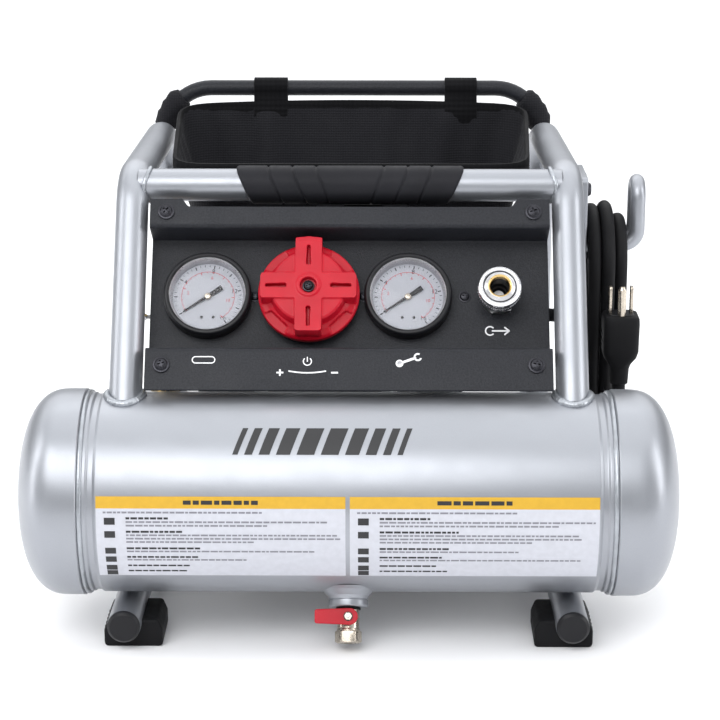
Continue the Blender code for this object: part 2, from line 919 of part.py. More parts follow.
def fan(axis):
    hub = turned(
        "fan",
        ring_profile(0.0110, 0.0043, -0.0680, -0.0860),
        PLASTIC,
        steps=20,
        closed=True,
    )
    place(hub, axis, ALONG_X)
    for i in range(7):
        blade = box("fan_blade", (0.0300, 0.0016, 0.0160), helper=True)
        angle = 2 * math.pi * i / 7
        reach = 0.0245
        spot = axis + Vector((-0.0770, reach * math.cos(angle), reach * math.sin(angle)))
        blade.matrix_world = (
            Matrix.Translation(spot)
            @ Matrix.Rotation(angle, 4, "X")
            @ Matrix.Rotation(math.pi / 2, 4, "Z")
            @ Matrix.Rotation(math.radians(62), 4, "X")
        )
        join(hub, blade)


def pump():
    axis = at(0, MOTOR_BEHIND, MOTOR_HEIGHT)
    case = turned(
        "crankcase",
        [
            (0.0340, 0.0670),
            (0.0385, 0.0670),
            (0.0385, 0.0290),
            (0.0044, 0.0290),
            (0.0044, 0.0320),
            (0.0340, 0.0320),
        ],
        ALUMINIUM,
        steps=24,
        closed=True,
    )
    place(case, axis, ALONG_X)
    deck = MOTOR_HEIGHT + 0.0365
    trim = box("case_trim", (0.08, 0.09, 0.02), helper=True)
    place(trim, at(CRANK_X, MOTOR_BEHIND, deck + 0.01))
    throat = cylinder("case_throat", 0.0090, 0.03, helper=True)
    place(throat, at(CRANK_X, MOTOR_BEHIND, deck - 0.005))
    cut(case, trim, throat)

    crank = MOTOR_HEIGHT + CRANK_THROW
    eccentric = cylinder("crank_eccentric", ECCENTRIC_RADIUS, 0.0100, STEEL, segments=24)
    place(eccentric, at(CRANK_X, MOTOR_BEHIND, crank), ALONG_X)
    hole = cylinder("shaft_hole", 0.0043, 0.02, helper=True, segments=20)
    place(hole, at(CRANK_X, MOTOR_BEHIND, MOTOR_HEIGHT), ALONG_X)
    cut(eccentric, hole)

    rod = turned(
        "piston_rod",
        ring_profile(BIG_END_OUTER, BIG_END_INNER, 0.0045, -0.0045),
        ALUMINIUM,
        steps=28,
        closed=True,
    )
    place(rod, at(CRANK_X, MOTOR_BEHIND, crank), ALONG_X)
    column = box("rod_column", (0.0070, 0.0100, 0.0340), helper=True)
    place(column, at(CRANK_X, MOTOR_BEHIND, crank + 0.0410))
    crown = cylinder("piston_crown", 0.0196, 0.0060, helper=True)
    place(crown, at(CRANK_X, MOTOR_BEHIND, crank + 0.0590))
    join(rod, column, crown)

    bottom = deck + GAP
    top = 0.1600
    fins = []
    for i in range(4):
        z = top - 0.0035 - 0.0075 * i
        fins += [(0.0290, z), (0.0290, z - 0.0022), (0.0232, z - 0.0022)]
        if i < 3:
            fins.append((0.0232, z - 0.0075))
    barrel = turned(
        "cylinder",
        [
            (0.0200, top),
            (0.0232, top),
            (0.0232, top - 0.0035),
            *fins,
            (0.0232, bottom),
            (0.0200, bottom),
        ],
        ALUMINIUM,
        steps=20,
        closed=True,
    )
    place(barrel, at(CRANK_X, MOTOR_BEHIND, 0))

    head = box("cylinder_head", (0.056, 0.056, 0.0130), ALUMINIUM)
    place(head, at(CRANK_X, MOTOR_BEHIND, top + GAP + 0.0065))
    bevel(head, 0.0025, 2)
    inlet = turned(
        "intake_filter",
        [
            (0, 0.0240),
            (0.0100, 0.0240),
            (0.0115, 0.0225),
            (0.0115, 0.0060),
            (0.0050, 0.0050),
            (0.0050, 0),
            (0, 0),
        ],
        PLASTIC,
        steps=24,
    )
    place(inlet, at(CRANK_X, MOTOR_BEHIND + 0.028 + GAP, top + 0.0068), (-math.pi / 2, 0, 0))


def check_valve_pose(reach=0.0):
    """A point on the check valve's axis, this far out of the tank, and the turn of its frame."""
    tilt = math.radians(40)
    out = TANK_RADIUS + reach
    spot = at(-0.108, out * math.sin(tilt), TANK_HEIGHT + out * math.cos(tilt))
    return spot, (-tilt, 0, 0)


def delivery():
    spot, turn = check_valve_pose()
    valve = turned(
        "check_valve",
        [
            (0.0030, 0.0200),
            (0.0055, 0.0200),
            (0.0055, 0.0130),
            (0.0090, 0.0120),
            (0.0090, 0.0060),
            (0.0070, 0.0050),
            (0.0070, -0.0010),
            (0.0030, -0.0010),
        ],
        BRASS,
        steps=20,
        closed=True,
    )
    place(valve, spot, turn)
    seat = cylinder("valve_seat", TANK_RADIUS + GAP, 0.04, helper=True, segments=72)
    place(seat, at(-0.108, 0, TANK_HEIGHT), ALONG_X)
    cut(valve, seat)
    start = check_valve_pose(0.0203)[0]
    lift = check_valve_pose(0.0340)[0]
    route = [
        start,
        lift,
        at(-0.108, 0.1000, 0.1560),
        at(CRANK_X, 0.1000, 0.1670),
        at(CRANK_X, MOTOR_BEHIND - 0.028 - GAP, 0.1670),
    ]
    tube("discharge_tube", bent(route, 0.009, 4), 0.0032, COPPER, sides=10)


# Hook, cord and bag


def hook_points():
    front, rear = HOOK_RODS
    low, high = 0.2050, 0.2415
    inner = FRAME_X_FRONT + TUBE_RADIUS + 0.0030
    return [
        at(inner, front, low),
        at(HOOK_X, front, low),
        at(HOOK_X, front, high),
        at(HOOK_X, rear, high),
        at(HOOK_X, rear, low),
        at(inner, rear, low),
    ]


def cord_hook(room):
    """A rod bent to a U, its two legs turned up at the tip, on a plate beside the right-hand tube."""
    rod = as_mesh(tube("cord_hook", bent(hook_points(), 0.0089, 5), HOOK_ROD, SILVER, sides=12))
    plate = box("hook_plate", (0.0040, 0.046, 0.050), helper=True)
    middle = sum(HOOK_RODS) / 2
    place(plate, at(FRAME_X_FRONT + TUBE_RADIUS + 0.0025, middle, 0.2230))
    join(rod, plate)
    cut(rod, room)


def stadium(half_width, bottom, top, steps):
    """An upright outline with round ends, about the line x = 0."""
    points = []
    for centre, start in ((top - half_width, 0), (bottom + half_width, math.pi)):
        for i in range(steps + 1):
            a = start + math.pi * i / steps
            points.append((half_width * math.cos(a), centre + half_width * math.sin(a)))
    return points


def cord():
    relief_spot = at(0.0358, 0.0865, 0.2050)
    boot = turned(
        "strain_relief",
        [
            (0, 0.0240),
            (0.0052, 0.0240),
            (0.0075, 0.0040),
            (0.0085, 0.0035),
            (0.0085, 0),
            (0, 0),
        ],
        RUBBER,
        steps=20,
    )
    place(boot, relief_spot, ALONG_X)
    lead = [
        at(0.0601, 0.0865, 0.2050),
        at(0.0670, 0.0865, 0.2050),
        at(0.0780, 0.0880, 0.1985),
        at(0.0880, 0.0897, 0.1868),
        at(0.0960, 0.0904, 0.1778),
        at(0.1060, 0.0905, 0.1690),
        at(0.1190, 0.0905, 0.1641),
        at(0.1310, 0.0905, 0.1664),
        at(0.1383, 0.0905, 0.1713),
    ]
    tube("cord_lead", curve_through(lead, 0.010), CORD_RADIUS, RUBBER, sides=8)

    outline = stadium(HANK_HALF_DEPTH, HANK_BOTTOM, HANK_TOP, 8)
    hank = flat_outline("cord_hank", outline, HANK_X[1] - HANK_X[0], RUBBER)
    across = Matrix(((0, 0, 1), (1, 0, 0), (0, 1, 0))).to_euler()
    middle = sum(HOOK_RODS) / 2
    place(hank, at(sum(HANK_X) / 2, middle, 0), across)
    hank = as_mesh(hank)
    # The hook's legs pass through the hank's loop, and its tip stands past the last turn.
    slot = box("hank_eye", (0.06, 0.0400, 0.1040), helper=True)
    place(slot, at(sum(HANK_X) / 2, middle, 0.1620))
    bevel(slot, 0.0195, 4)
    cut(hank, slot)

    x, distance = PLUG_AT
    tail = [
        at(0.1630, 0.0975, HANK_BOTTOM - 0.0042),
        at(0.1628, 0.0880, HANK_BOTTOM - 0.0020),
        at(0.1620, 0.0760, HANK_BOTTOM + 0.0050),
        at(0.1608, 0.0670, HANK_BOTTOM + 0.0160),
        at(x, distance + 0.0003, HANK_BOTTOM + 0.0270),
        at(x, distance, HANK_BOTTOM + 0.0354),
    ]
    tube("cord_tail", curve_through(tail, 0.010), CORD_RADIUS, RUBBER, sides=8)

    plug = turned(
        "plug",
        [
            (0, 0.0430),
            (0.0100, 0.0430),
            (0.0113, 0.0415),
            (0.0113, 0.0190),
            (0.0085, 0.0130),
            (0.0060, 0.0120),
            (0.0055, 0),
            (0, 0),
        ],
        RUBBER,
        steps=20,
    )
    place(plug, at(x, distance, HANK_BOTTOM + 0.0360))
    for side in (-1, 1):
        blade = box("plug_blade", (0.0016, 0.0062, 0.0200), helper=True)
        place(blade, at(x + side * 0.0062, distance + 0.002, HANK_BOTTOM + 0.0850))
        join(plug, blade)
    pin = cylinder("plug_pin", 0.0024, 0.0210, helper=True, segments=14)
    place(pin, at(x, distance - 0.0055, HANK_BOTTOM + 0.0865))
    join(plug, pin)


def bag_frame(rooms):
    low = TOP_RUN_HEIGHT - 0.012
    corners = [
        at(-RAIL_X, RAIL_BEHIND, low),
        at(-RAIL_X, RAIL_BEHIND, RAIL_HEIGHT),
        at(RAIL_X, RAIL_BEHIND, RAIL_HEIGHT),
        at(RAIL_X, RAIL_BEHIND, low),
    ]
    rail = as_mesh(tube("bag_frame", bent(corners, RAIL_BEND, 6), RAIL_RADIUS, PLASTIC, sides=12))
    cut(rail, rooms[-1], rooms[1])


def bag_ring(level, inset=0.0):
    """The bag's outline at a level from 0, the floor, to 1, the rim, as four corners."""
    half_front = 0.088 + (0.106 - 0.088) * level - inset
    half_rear = 0.092 + (0.1125 - 0.092) * level - inset
    front = 0.114 + (0.1045 - 0.114) * level + inset
    rear = 0.215 + (0.2315 - 0.215) * level - inset
    low = 0.190
    z_front = low + (0.2535 - low) * level
    z_rear = low + (0.2690 - low) * level
    return [
        at(-half_front, front, z_front),
        at(half_front, front, z_front),
        at(half_rear, rear, z_rear),
        at(-half_rear, rear, z_rear),
    ]


def tool_bag():
    """An open-topped bag: outer walls, rim and inner walls as one closed loft."""
    floor = Vector((0, 0, BAG_WALL))
    rings = [
        bag_ring(0),
        bag_ring(0.5),
        bag_ring(1),
        bag_ring(1, BAG_WALL),
        bag_ring(0.5, BAG_WALL),
        [corner + floor for corner in bag_ring(0, BAG_WALL)],
    ]
    shape = bmesh.new()
    loops = [[shape.verts.new(point) for point in ring] for ring in rings]
    for lower, upper in zip(loops, loops[1:]):
        for i in range(4):
            j = (i + 1) % 4
            shape.faces.new((lower[i], lower[j], upper[j], upper[i]))
    shape.faces.new(loops[0][::-1])
    shape.faces.new(loops[-1])
    bmesh.ops.recalc_face_normals(shape, faces=shape.faces)
    mesh = bpy.data.meshes.new("tool_bag")
    shape.to_mesh(mesh)
    shape.free()
    add("tool_bag", mesh, FABRIC)


def build():
    tank()
    drain()
    rooms = frames()
    frame = panel_frame()
    control_panel(frame)
    gauge("tank", TANK_GAUGE_X, frame)
    gauge("tool", TOOL_GAUGE_X, frame)
    regulator(frame)
    manifold(frame)
    coupler(frame)
    relief(frame)
    power_switch()
    motor()
    pump()
    delivery()
    cord_hook(rooms[1])
    cord()
    bag_frame(rooms)
    tool_bag()


build()
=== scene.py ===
"""Looks for the portable air compressor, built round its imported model.

Metres, apart from the points given to mm() and turned(), which are in millimetres. +Z is up and the front
faces -Y. Distances named behind or d are behind the tank's axis."""

import json
import math
import random

import bmesh
import bpy
from mathutils import Matrix, Vector


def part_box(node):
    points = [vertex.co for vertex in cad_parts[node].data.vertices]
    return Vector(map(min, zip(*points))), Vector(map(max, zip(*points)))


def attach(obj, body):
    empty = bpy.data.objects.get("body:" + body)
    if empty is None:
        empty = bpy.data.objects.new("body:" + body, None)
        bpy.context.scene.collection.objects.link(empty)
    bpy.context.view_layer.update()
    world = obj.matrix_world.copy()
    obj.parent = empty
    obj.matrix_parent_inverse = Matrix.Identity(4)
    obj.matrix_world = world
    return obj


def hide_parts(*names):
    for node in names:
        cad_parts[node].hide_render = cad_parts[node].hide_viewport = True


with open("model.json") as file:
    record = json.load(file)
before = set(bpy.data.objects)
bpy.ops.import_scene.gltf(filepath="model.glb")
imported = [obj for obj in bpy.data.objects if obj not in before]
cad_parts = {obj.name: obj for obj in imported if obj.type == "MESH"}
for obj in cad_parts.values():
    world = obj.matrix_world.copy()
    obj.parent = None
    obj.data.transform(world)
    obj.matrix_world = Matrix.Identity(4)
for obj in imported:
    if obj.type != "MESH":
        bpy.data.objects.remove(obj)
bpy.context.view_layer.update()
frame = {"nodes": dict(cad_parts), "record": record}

# Driving sizes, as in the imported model
TANK_LOW, TANK_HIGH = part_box("tank_shell")
TANK_Y = (TANK_LOW.y + TANK_HIGH.y) / 2
TANK_Z = (TANK_LOW.z + TANK_HIGH.z) / 2
TANK_RADIUS = (TANK_HIGH.z - TANK_LOW.z) / 2
TANK_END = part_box("tank_head_right")[1].x
SKIRT_RADIUS = 0.0593
SKIRT_START = 0.150
DOME_START = 0.160
TUBE_RADIUS = 0.0095
FRAME_X_FRONT = 0.1275
FRAME_X_REAR = 0.1230
TOP_RUN_HEIGHT = 0.2505
FOOT_TUBE_HEIGHT = 0.0155
FOOT_TUBE_FRONT = -0.039
REAR_LEG = 0.246
FRONT_BEND = 0.030
REAR_BEND = 0.038
LEAN = math.radians(34.5)
ROOT_HEIGHT = 0.141
HANDLE_BEHIND = 0.0760
HANDLE_HEIGHT = 0.2470
GRIP_RADIUS = 0.0114
GRIP_HALF = 0.065

PANEL_HALF_WIDTH = 0.116
PANEL_HEIGHT = 0.117
PANEL_SHEET = 0.002
FLANGE_FACE = 0.009
MAIN_FACE = -0.012
LOWER_FLANGE_TOP = 0.026
UPPER_FLANGE_BOTTOM = 0.099
ROW = 0.063
TANK_GAUGE_X = -0.0825
TOOL_GAUGE_X = 0.034
KNOB_X = -0.0235
COUPLER_X = 0.0865
GAUGE_RADIUS = 0.0255
KNOB_RADIUS = 0.0294
PANEL_SCREW_X = 0.1065
PANEL_SCREW_ROWS = (0.0150, 0.1085)

DRAIN_TILT = math.radians(27)
DRAIN_PIVOT = 0.0725

SIDES = (("left", -1), ("right", 1))


def behind(distance):
    return TANK_Y + distance


def at(x, distance, z):
    return Vector((x, behind(distance), z))


# Camera first, then the light and the floor


SENSOR = 36.0
FOCAL = 3.12917  # in frame widths
REACH = 1.3
FALL = math.radians(19.5)
LOOK_ACROSS, LOOK_UP = -0.0075455, 0.0583666


def aimed(made, direction):
    bpy.context.scene.collection.objects.link(made)
    made.rotation_euler = direction.to_track_quat("-Z", "Y").to_euler()


def camera():
    """In front of the object and a little above it, REACH from the tank's axis, looking down by FALL."""
    ahead = Vector((0, math.cos(FALL), -math.sin(FALL)))
    upward = Vector((0, math.sin(FALL), math.cos(FALL)))
    made = bpy.data.objects.new("camera", bpy.data.cameras.new("camera"))
    made.location = Vector((0.016, TANK_Y, TANK_Z)) - ahead * REACH
    aimed(made, ahead + LOOK_ACROSS * Vector((1, 0, 0)) + LOOK_UP * upward)
    made.data.sensor_width = SENSOR
    made.data.lens = SENSOR * FOCAL
    bpy.context.scene.camera = made


MIDDLE = (0, 0, 0.14)
# Name, place, target, width and height, power
LIGHTS = (
    ("key", (-0.45, -1.15, 1.2), MIDDLE, (1.5, 0.9), 18), ("top", (0.1, 0.2, 1.6), MIDDLE, (2.2, 1.4), 9),
    ("side", (1.35, -0.35, 0.65), MIDDLE, (0.5, 1.1), 8),
    ("left", (-1.35, -0.1, 0.55), MIDDLE, (0.4, 1.1), 6),
    ("backdrop", (0, 4.5, 3.0), (0, 4.5, 0), (9.0, 6.0), 190),
)


def area_light(name, place, target, size, power):
    data = bpy.data.lights.new(name, "AREA")
    data.shape = "RECTANGLE"
    data.size, data.size_y = size
    data.energy = power
    made = bpy.data.objects.new(name, data)
    made.location = place
    aimed(made, Vector(target) - Vector(place))


def studio():
    world = bpy.data.worlds.new("studio")
    bpy.context.scene.world = world
    world.use_nodes = True
    sky = world.node_tree.nodes["Background"]
    sky.inputs["Color"].default_value = (0.96, 0.98, 1.0, 1)
    # The surroundings are dim near the horizon and bright overhead, as in a studio with a lit ceiling.
    tree = world.node_tree
    place = tree.nodes.new("ShaderNodeTexCoord")
    parts = tree.nodes.new("ShaderNodeSeparateXYZ")
    rise = tree.nodes.new("ShaderNodeMapRange")
    rise.inputs["From Max"].default_value = 0.75
    rise.inputs["To Min"].default_value = 0.20
    rise.inputs["To Max"].default_value = 0.90
    tree.links.new(place.outputs["Generated"], parts.inputs["Vector"])
    tree.links.new(parts.outputs["Z"], rise.inputs["Value"])
    tree.links.new(rise.outputs["Result"], sky.inputs["Strength"])
    for light in LIGHTS:
        area_light(*light)
    bpy.context.scene.view_settings.view_transform = "Standard"


# Materials


# The range that a noise texture keeps to, nearly
LEAST, MOST = 0.3, 0.7


class Finish:
    """A material and short ways to add to its node tree."""

    def __init__(self, name, colour, roughness, metallic=0.0, **sockets):
        self.material = bpy.data.materials.new(name)
        self.material.use_nodes = True
        self.tree = self.material.node_tree
        self.shader = self.tree.nodes["Principled BSDF"]
        self.colour = colour
        self.set("Base Color", (*colour, 1))
        self.set("Roughness", roughness)
        self.set("Metallic", metallic)
        for socket, value in sockets.items():
            self.set(socket.replace("_", " "), value)
        self.place = self.add("ShaderNodeTexCoord").outputs["Object"]
        self.material.diffuse_color = (*colour, 1)

    def set(self, socket, value):
        self.shader.inputs[socket].default_value = value

    def add(self, kind, **settings):
        node = self.tree.nodes.new(kind)
        for key, value in settings.items():
            setattr(node, key, value)
        return node

    def link(self, source, target):
        self.tree.links.new(source, target)

    def noise(self, scale, detail=3.0):
        node = self.add("ShaderNodeTexNoise")
        node.inputs["Scale"].default_value = scale
        node.inputs["Detail"].default_value = detail
        self.link(self.place, node.inputs["Vector"])
        return node.outputs["Fac"]

    def wave(self, scale, axis, distortion=0.0):
        node = self.add("ShaderNodeTexWave", bands_direction=axis)
        node.inputs["Scale"].default_value = scale
        node.inputs["Distortion"].default_value = distortion
        self.link(self.place, node.inputs["Vector"])
        return node.outputs["Fac"]

    def cells(self, scale):
        node = self.add("ShaderNodeTexVoronoi", feature="F1")
        node.inputs["Scale"].default_value = scale
        self.link(self.place, node.inputs["Vector"])
        return node.outputs["Distance"]

    def spread(self, source, low, high):
        """The source's middle range, remapped to low..high."""
        node = self.add("ShaderNodeMapRange")
        for socket, value in (("From Min", LEAST), ("From Max", MOST), ("To Min", low), ("To Max", high)):
            node.inputs[socket].default_value = value
        self.link(source, node.inputs["Value"])
        return node.outputs["Result"]

    def math(self, operation, a, b):
        node = self.add("ShaderNodeMath", operation=operation)
        self.link(a, node.inputs[0])
        if isinstance(b, (int, float)):
            node.inputs[1].default_value = b
        else:
            self.link(b, node.inputs[1])
        return node.outputs["Value"]

    def tint(self, source, low, high):
        """Varies the base colour between two multiples of it."""
        ramp = self.add("ShaderNodeValToRGB")
        ends = ramp.color_ramp.elements
        for end, position, share in ((ends[0], LEAST, low), (ends[1], MOST, high)):
            end.position = position
            end.color = (*[min(1.0, channel * share) for channel in self.colour], 1)
        self.link(source, ramp.inputs["Fac"])
        self.link(ramp.outputs["Color"], self.shader.inputs["Base Color"])
        return self

    def rough(self, source, low, high):
        self.link(self.spread(source, low, high), self.shader.inputs["Roughness"])
        return self

    def bump(self, *layers):
        """Stacks (source, depth in metres) layers of relief."""
        below = None
        for source, depth in layers:
            node = self.add("ShaderNodeBump")
            node.inputs["Strength"].default_value = 1.0
            node.inputs["Distance"].default_value = depth
            self.link(source, node.inputs["Height"])
            if below:
                self.link(below, node.inputs["Normal"])
            below = node.outputs["Normal"]
        self.link(below, self.shader.inputs["Normal"])
        return self


def silver_paint():
    paint = Finish("silver_paint", (0.335, 0.348, 0.378), 0.40, 0.74, Coat_Weight=0.12, Coat_Roughness=0.2)
    broad = paint.noise(7, 2)
    flakes = paint.noise(2600, 2)
    paint.tint(
        paint.math("ADD", paint.math("MULTIPLY", broad, 0.6), paint.math("MULTIPLY", flakes, 0.4)), 0.93,
        1.07,
    )
    paint.rough(paint.noise(60, 3), 0.36, 0.43)
    return paint.bump((paint.noise(260, 2), 0.00003), (flakes, 0.00001)).material


def weld_metal():
    weld = Finish("painted_weld", (0.36, 0.38, 0.41), 0.32, 0.7, Coat_Weight=0.3, Coat_Roughness=0.14)
    weld.tint(weld.noise(120, 3), 0.85, 1.12)
    return weld.bump((weld.noise(500, 3), 0.0002)).material


def steel(name="bare_steel", colour=(0.55, 0.55, 0.56), roughness=0.32):
    metal = Finish(name, colour, roughness, 1.0)
    grain = metal.noise(900, 4)
    metal.tint(metal.noise(90, 3), 0.86, 1.08)
    metal.rough(grain, roughness - 0.07, roughness + 0.10)
    return metal.bump((grain, 0.00002)).material


def chrome():
    metal = Finish("chrome", (0.72, 0.72, 0.74), 0.14, 1.0)
    metal.rough(metal.noise(700, 4), 0.09, 0.22)
    return metal.bump((metal.noise(220, 2), 0.00001)).material


def aluminium():
    metal = Finish("cast_aluminium", (0.58, 0.59, 0.60), 0.45, 1.0)
    grain = metal.noise(1500, 3)
    metal.tint(metal.noise(60, 4), 0.84, 1.08)
    metal.rough(grain, 0.38, 0.56)
    return metal.bump((metal.noise(350, 3), 0.00006), (grain, 0.00005)).material


def powder_coat():
    coat = Finish("panel_black", (0.016, 0.017, 0.021), 0.42, 0.0, Specular_IOR_Level=0.20)
    grain = coat.cells(1500)
    coat.tint(coat.noise(900, 3), 0.75, 1.35)
    coat.rough(coat.noise(40, 3), 0.36, 0.48)
    return coat.bump((grain, 0.00009), (coat.noise(2500, 2), 0.00004)).material


def moulded(name, colour, roughness, grain_scale=1800, depth=0.00004, **sockets):
    plastic = Finish(name, colour, roughness, 0.0, **sockets)
    plastic.tint(plastic.noise(45, 3), 0.90, 1.10)
    plastic.rough(plastic.noise(200, 3), roughness - 0.05, roughness + 0.06)
    return plastic.bump((plastic.noise(grain_scale, 3), depth)).material


def printed(name, colour, roughness=0.5):
    """Ink or a sticker: even, with a faint grain of its own."""
    ink = Finish(name, colour, roughness)
    ink.tint(ink.noise(300, 2), 0.96, 1.03)
    return ink.bump((ink.noise(1200, 2), 0.00001)).material


def woven(name, colour, pitch=0.0007):
    """Plain-weave nylon: warp and weft as crossed ribs, with slight sheen."""
    cloth = Finish(
        name, colour, 0.78, 0.0, Sheen_Weight=0.03, Sheen_Roughness=0.45, Specular_IOR_Level=0.12,
    )
    turns = 2 * math.pi / (20 * pitch)
    warp = cloth.wave(turns / math.pi, "X", 0.6)
    weft = cloth.wave(turns / math.pi, "Z", 0.6)
    cloth.tint(
        cloth.math("ADD", cloth.math("MULTIPLY", warp, 0.5), cloth.math("MULTIPLY", weft, 0.5)), 0.86, 1.2,
    )
    cloth.rough(cloth.noise(30, 3), 0.70, 0.88)
    return cloth.bump((cloth.noise(55, 3), 0.0006), (warp, 0.00012), (weft, 0.00012)).material


def clear():
    glass = Finish(
        "clear_lens", (0.06, 0.06, 0.07), 0.03, 0.0, Alpha=0.1, Coat_Weight=0.25, Coat_Roughness=0.02,
    )
    glass.rough(glass.noise(80, 2), 0.02, 0.05)
    return glass.material


SILVER = silver_paint()
WELD = weld_metal()
STEEL = steel()
ZINC = steel("dark_zinc", (0.045, 0.045, 0.052), 0.36)
CHROME = chrome()
BRASS = steel("brass", (0.70, 0.50, 0.21), 0.28)
NICKEL_BRASS = steel("plated_brass", (0.56, 0.50, 0.42), 0.26)
COPPER = steel("copper", (0.60, 0.28, 0.15), 0.30)
ALUMINIUM = aluminium()
PANEL_BLACK = powder_coat()
PLASTIC = moulded("black_plastic", (0.010, 0.010, 0.012), 0.36, Specular_IOR_Level=0.25)
RUBBER = moulded("black_rubber", (0.009, 0.009, 0.010), 0.58, 2200, 0.00008, Specular_IOR_Level=0.12)
GRIP_RUBBER = moulded("grip_rubber", (0.014, 0.014, 0.017), 0.50, 2600, 0.00006, Specular_IOR_Level=0.12)
RED = moulded("red_plastic", (0.42, 0.004, 0.016), 0.36, 1400, 0.00003, Specular_IOR_Level=0.25)
LEVER_RED = moulded("red_dip", (0.40, 0.004, 0.015), 0.36, 900, 0.00005, Specular_IOR_Level=0.3)
FABRIC = woven("black_fabric", (0.0120, 0.0120, 0.0145), 0.0005)
WEBBING = woven("webbing", (0.0040, 0.0040, 0.0050), 0.0010)
DIAL_WHITE = printed("dial_white", (0.50, 0.515, 0.57), 0.45)
INK_BLACK = printed("ink_black", (0.015, 0.015, 0.017))
INK_RED = printed("ink_red", (0.62, 0.05, 0.06))
INK_WHITE = printed("ink_white", (0.80, 0.80, 0.82))
INK_GREY = printed("ink_grey", (0.20, 0.20, 0.23))
LABEL = printed("label_silver", (0.52, 0.53, 0.58), 0.42)
YELLOW = printed("label_yellow", (0.58, 0.34, 0.026), 0.40)
GLASS = clear()


# Mesh tools


def new_object(name, mesh, finish=None, matrix=None):
    made = bpy.data.objects.new(name, mesh)
    bpy.context.scene.collection.objects.link(made)
    if finish:
        mesh.materials.clear()
        mesh.materials.append(finish)
    if matrix:
        made.matrix_world = matrix
    return made


def solid(name, verts, faces, finish=None, matrix=None, sharp=38):
    """A mesh from points and faces, its faces turned outwards, its smooth edges smooth."""
    mesh = bpy.data.meshes.new(name)
    mesh.from_pydata([tuple(v) for v in verts], [], faces)
    shape = bmesh.new()
    shape.from_mesh(mesh)
    bmesh.ops.remove_doubles(shape, verts=shape.verts, dist=0.000001)
    bmesh.ops.recalc_face_normals(shape, faces=shape.faces)
    shape.to_mesh(mesh)
    shape.free()
    mesh.shade_smooth()
    mesh.set_sharp_from_angle(angle=math.radians(sharp))
    return new_object(name, mesh, finish, matrix)


def mm(*points):
    """Points given in millimetres, as metres."""
    return [tuple(value / 1000 for value in point) for point in points]


def rounded(points, radius, steps=4, closed=False):
    """A flat outline with its corners rounded. The radius is one number, or one for each corner."""
    radii = radius if isinstance(radius, (list, tuple)) else [radius] * len(points)
    made = []
    for i, (corner, r) in enumerate(zip(points, radii)):
        corner = Vector(corner)
        if r <= 0 or (not closed and i in (0, len(points) - 1)):
            made.append(tuple(corner))
            continue
        into = corner - Vector(points[i - 1])
        out = Vector(points[(i + 1) % len(points)]) - corner
        turn = into.angle(out)
        if turn < 0.03:
            made.append(tuple(corner))
            continue
        reach = min(r * math.tan(turn / 2), 0.48 * into.length, 0.48 * out.length)
        start, end = corner - into.normalized() * reach, corner + out.normalized() * reach
        for k in range(steps + 1):
            t = k / steps
            made.append(tuple(start * (1 - t) ** 2 + corner * 2 * t * (1 - t) + end * t * t))
    return made


def lathe(name, profile, finish=None, matrix=None, segments=72, closed=False, sharp=38):
    """(radius, height) points turned about the local Z."""
    verts, rows = [], []
    for r, z in profile:
        if r < 0.000001:
            rows.append([len(verts)] * segments)
            verts.append((0, 0, z))
            continue
        rows.append(list(range(len(verts), len(verts) + segments)))
        turns = [2 * math.pi * i / segments for i in range(segments)]
        verts += [(r * math.cos(a), r * math.sin(a), z) for a in turns]
    if closed:
        rows.append(rows[0])
    faces = []
    for a, b in zip(rows, rows[1:]):
        for i in range(segments):
            j = (i + 1) % segments
            face = list(dict.fromkeys((a[i], a[j], b[j], b[i])))
            if len(face) > 2:
                faces.append(face)
    return solid(name, verts, faces, finish, matrix, sharp)


def turned(name, points, edge, finish=None, matrix=None, segments=72, closed=False, steps=4):
    """(radius, height) points in millimetres turned about the local Z, their corners rounded by edge, which
    is in metres."""
    return lathe(name, rounded(mm(*points), edge, steps, closed), finish, matrix, segments, closed)


def prism(name, outline, low, high, finish=None, matrix=None, edge=0.0):
    """A flat outline raised along the local Z from low to high, its edges rounded by edge."""
    count = len(outline)
    verts = [(x, y, low) for x, y in outline] + [(x, y, high) for x, y in outline]
    sides = [(i, (i + 1) % count, (i + 1) % count + count, i + count) for i in range(count)]
    faces = [list(range(count))[::-1], list(range(count, 2 * count)), *sides]
    made = solid(name, verts, faces, finish, matrix)
    if edge:
        soften(made, edge)
    return made


def hex_head(name, across_flats, low, high, finish, matrix, edge=0.0, start=0.0):
    """A nut or a bolt's head, from low to high along the local Z."""
    outline = circle(across_flats / 2 / math.cos(math.pi / 6), 6, start=start)
    return prism(name, outline, low, high, finish, matrix, edge)


def soften(obj, width, segments=3, degrees=30):
    made = obj.modifiers.new("bevel", "BEVEL")
    made.width = width
    made.segments = segments
    made.limit_method = "ANGLE"
    made.angle_limit = math.radians(degrees)
    return obj


def block(name, size, finish=None, matrix=None, edge=0.001, corner=0.0):
    """A box about its own origin, its upright corners rounded by corner and every edge by edge."""
    x, y, z = (s / 2 for s in size)
    outline = [(-x, -y), (x, -y), (x, y), (-x, y)]
    if corner:
        outline = rounded(outline, corner, 5, closed=True)
    return prism(name, outline, -z, z, finish, matrix, edge)


def circle(radius, sides=32, centre=(0, 0), start=0.0):
    turns = [start + 2 * math.pi * i / sides for i in range(sides)]
    return [(centre[0] + radius * math.cos(a), centre[1] + radius * math.sin(a)) for a in turns]


def arc_band(radius, thick, start, end, steps=24):
    """The outline of a flat arc between two angles in degrees."""
    turns = [math.radians(start + (end - start) * i / steps) for i in range(steps + 1)]
    outer = [(radius * math.cos(a), radius * math.sin(a)) for a in turns]
    inner = [((radius - thick) * math.cos(a), (radius - thick) * math.sin(a)) for a in reversed(turns)]
    return outer + inner


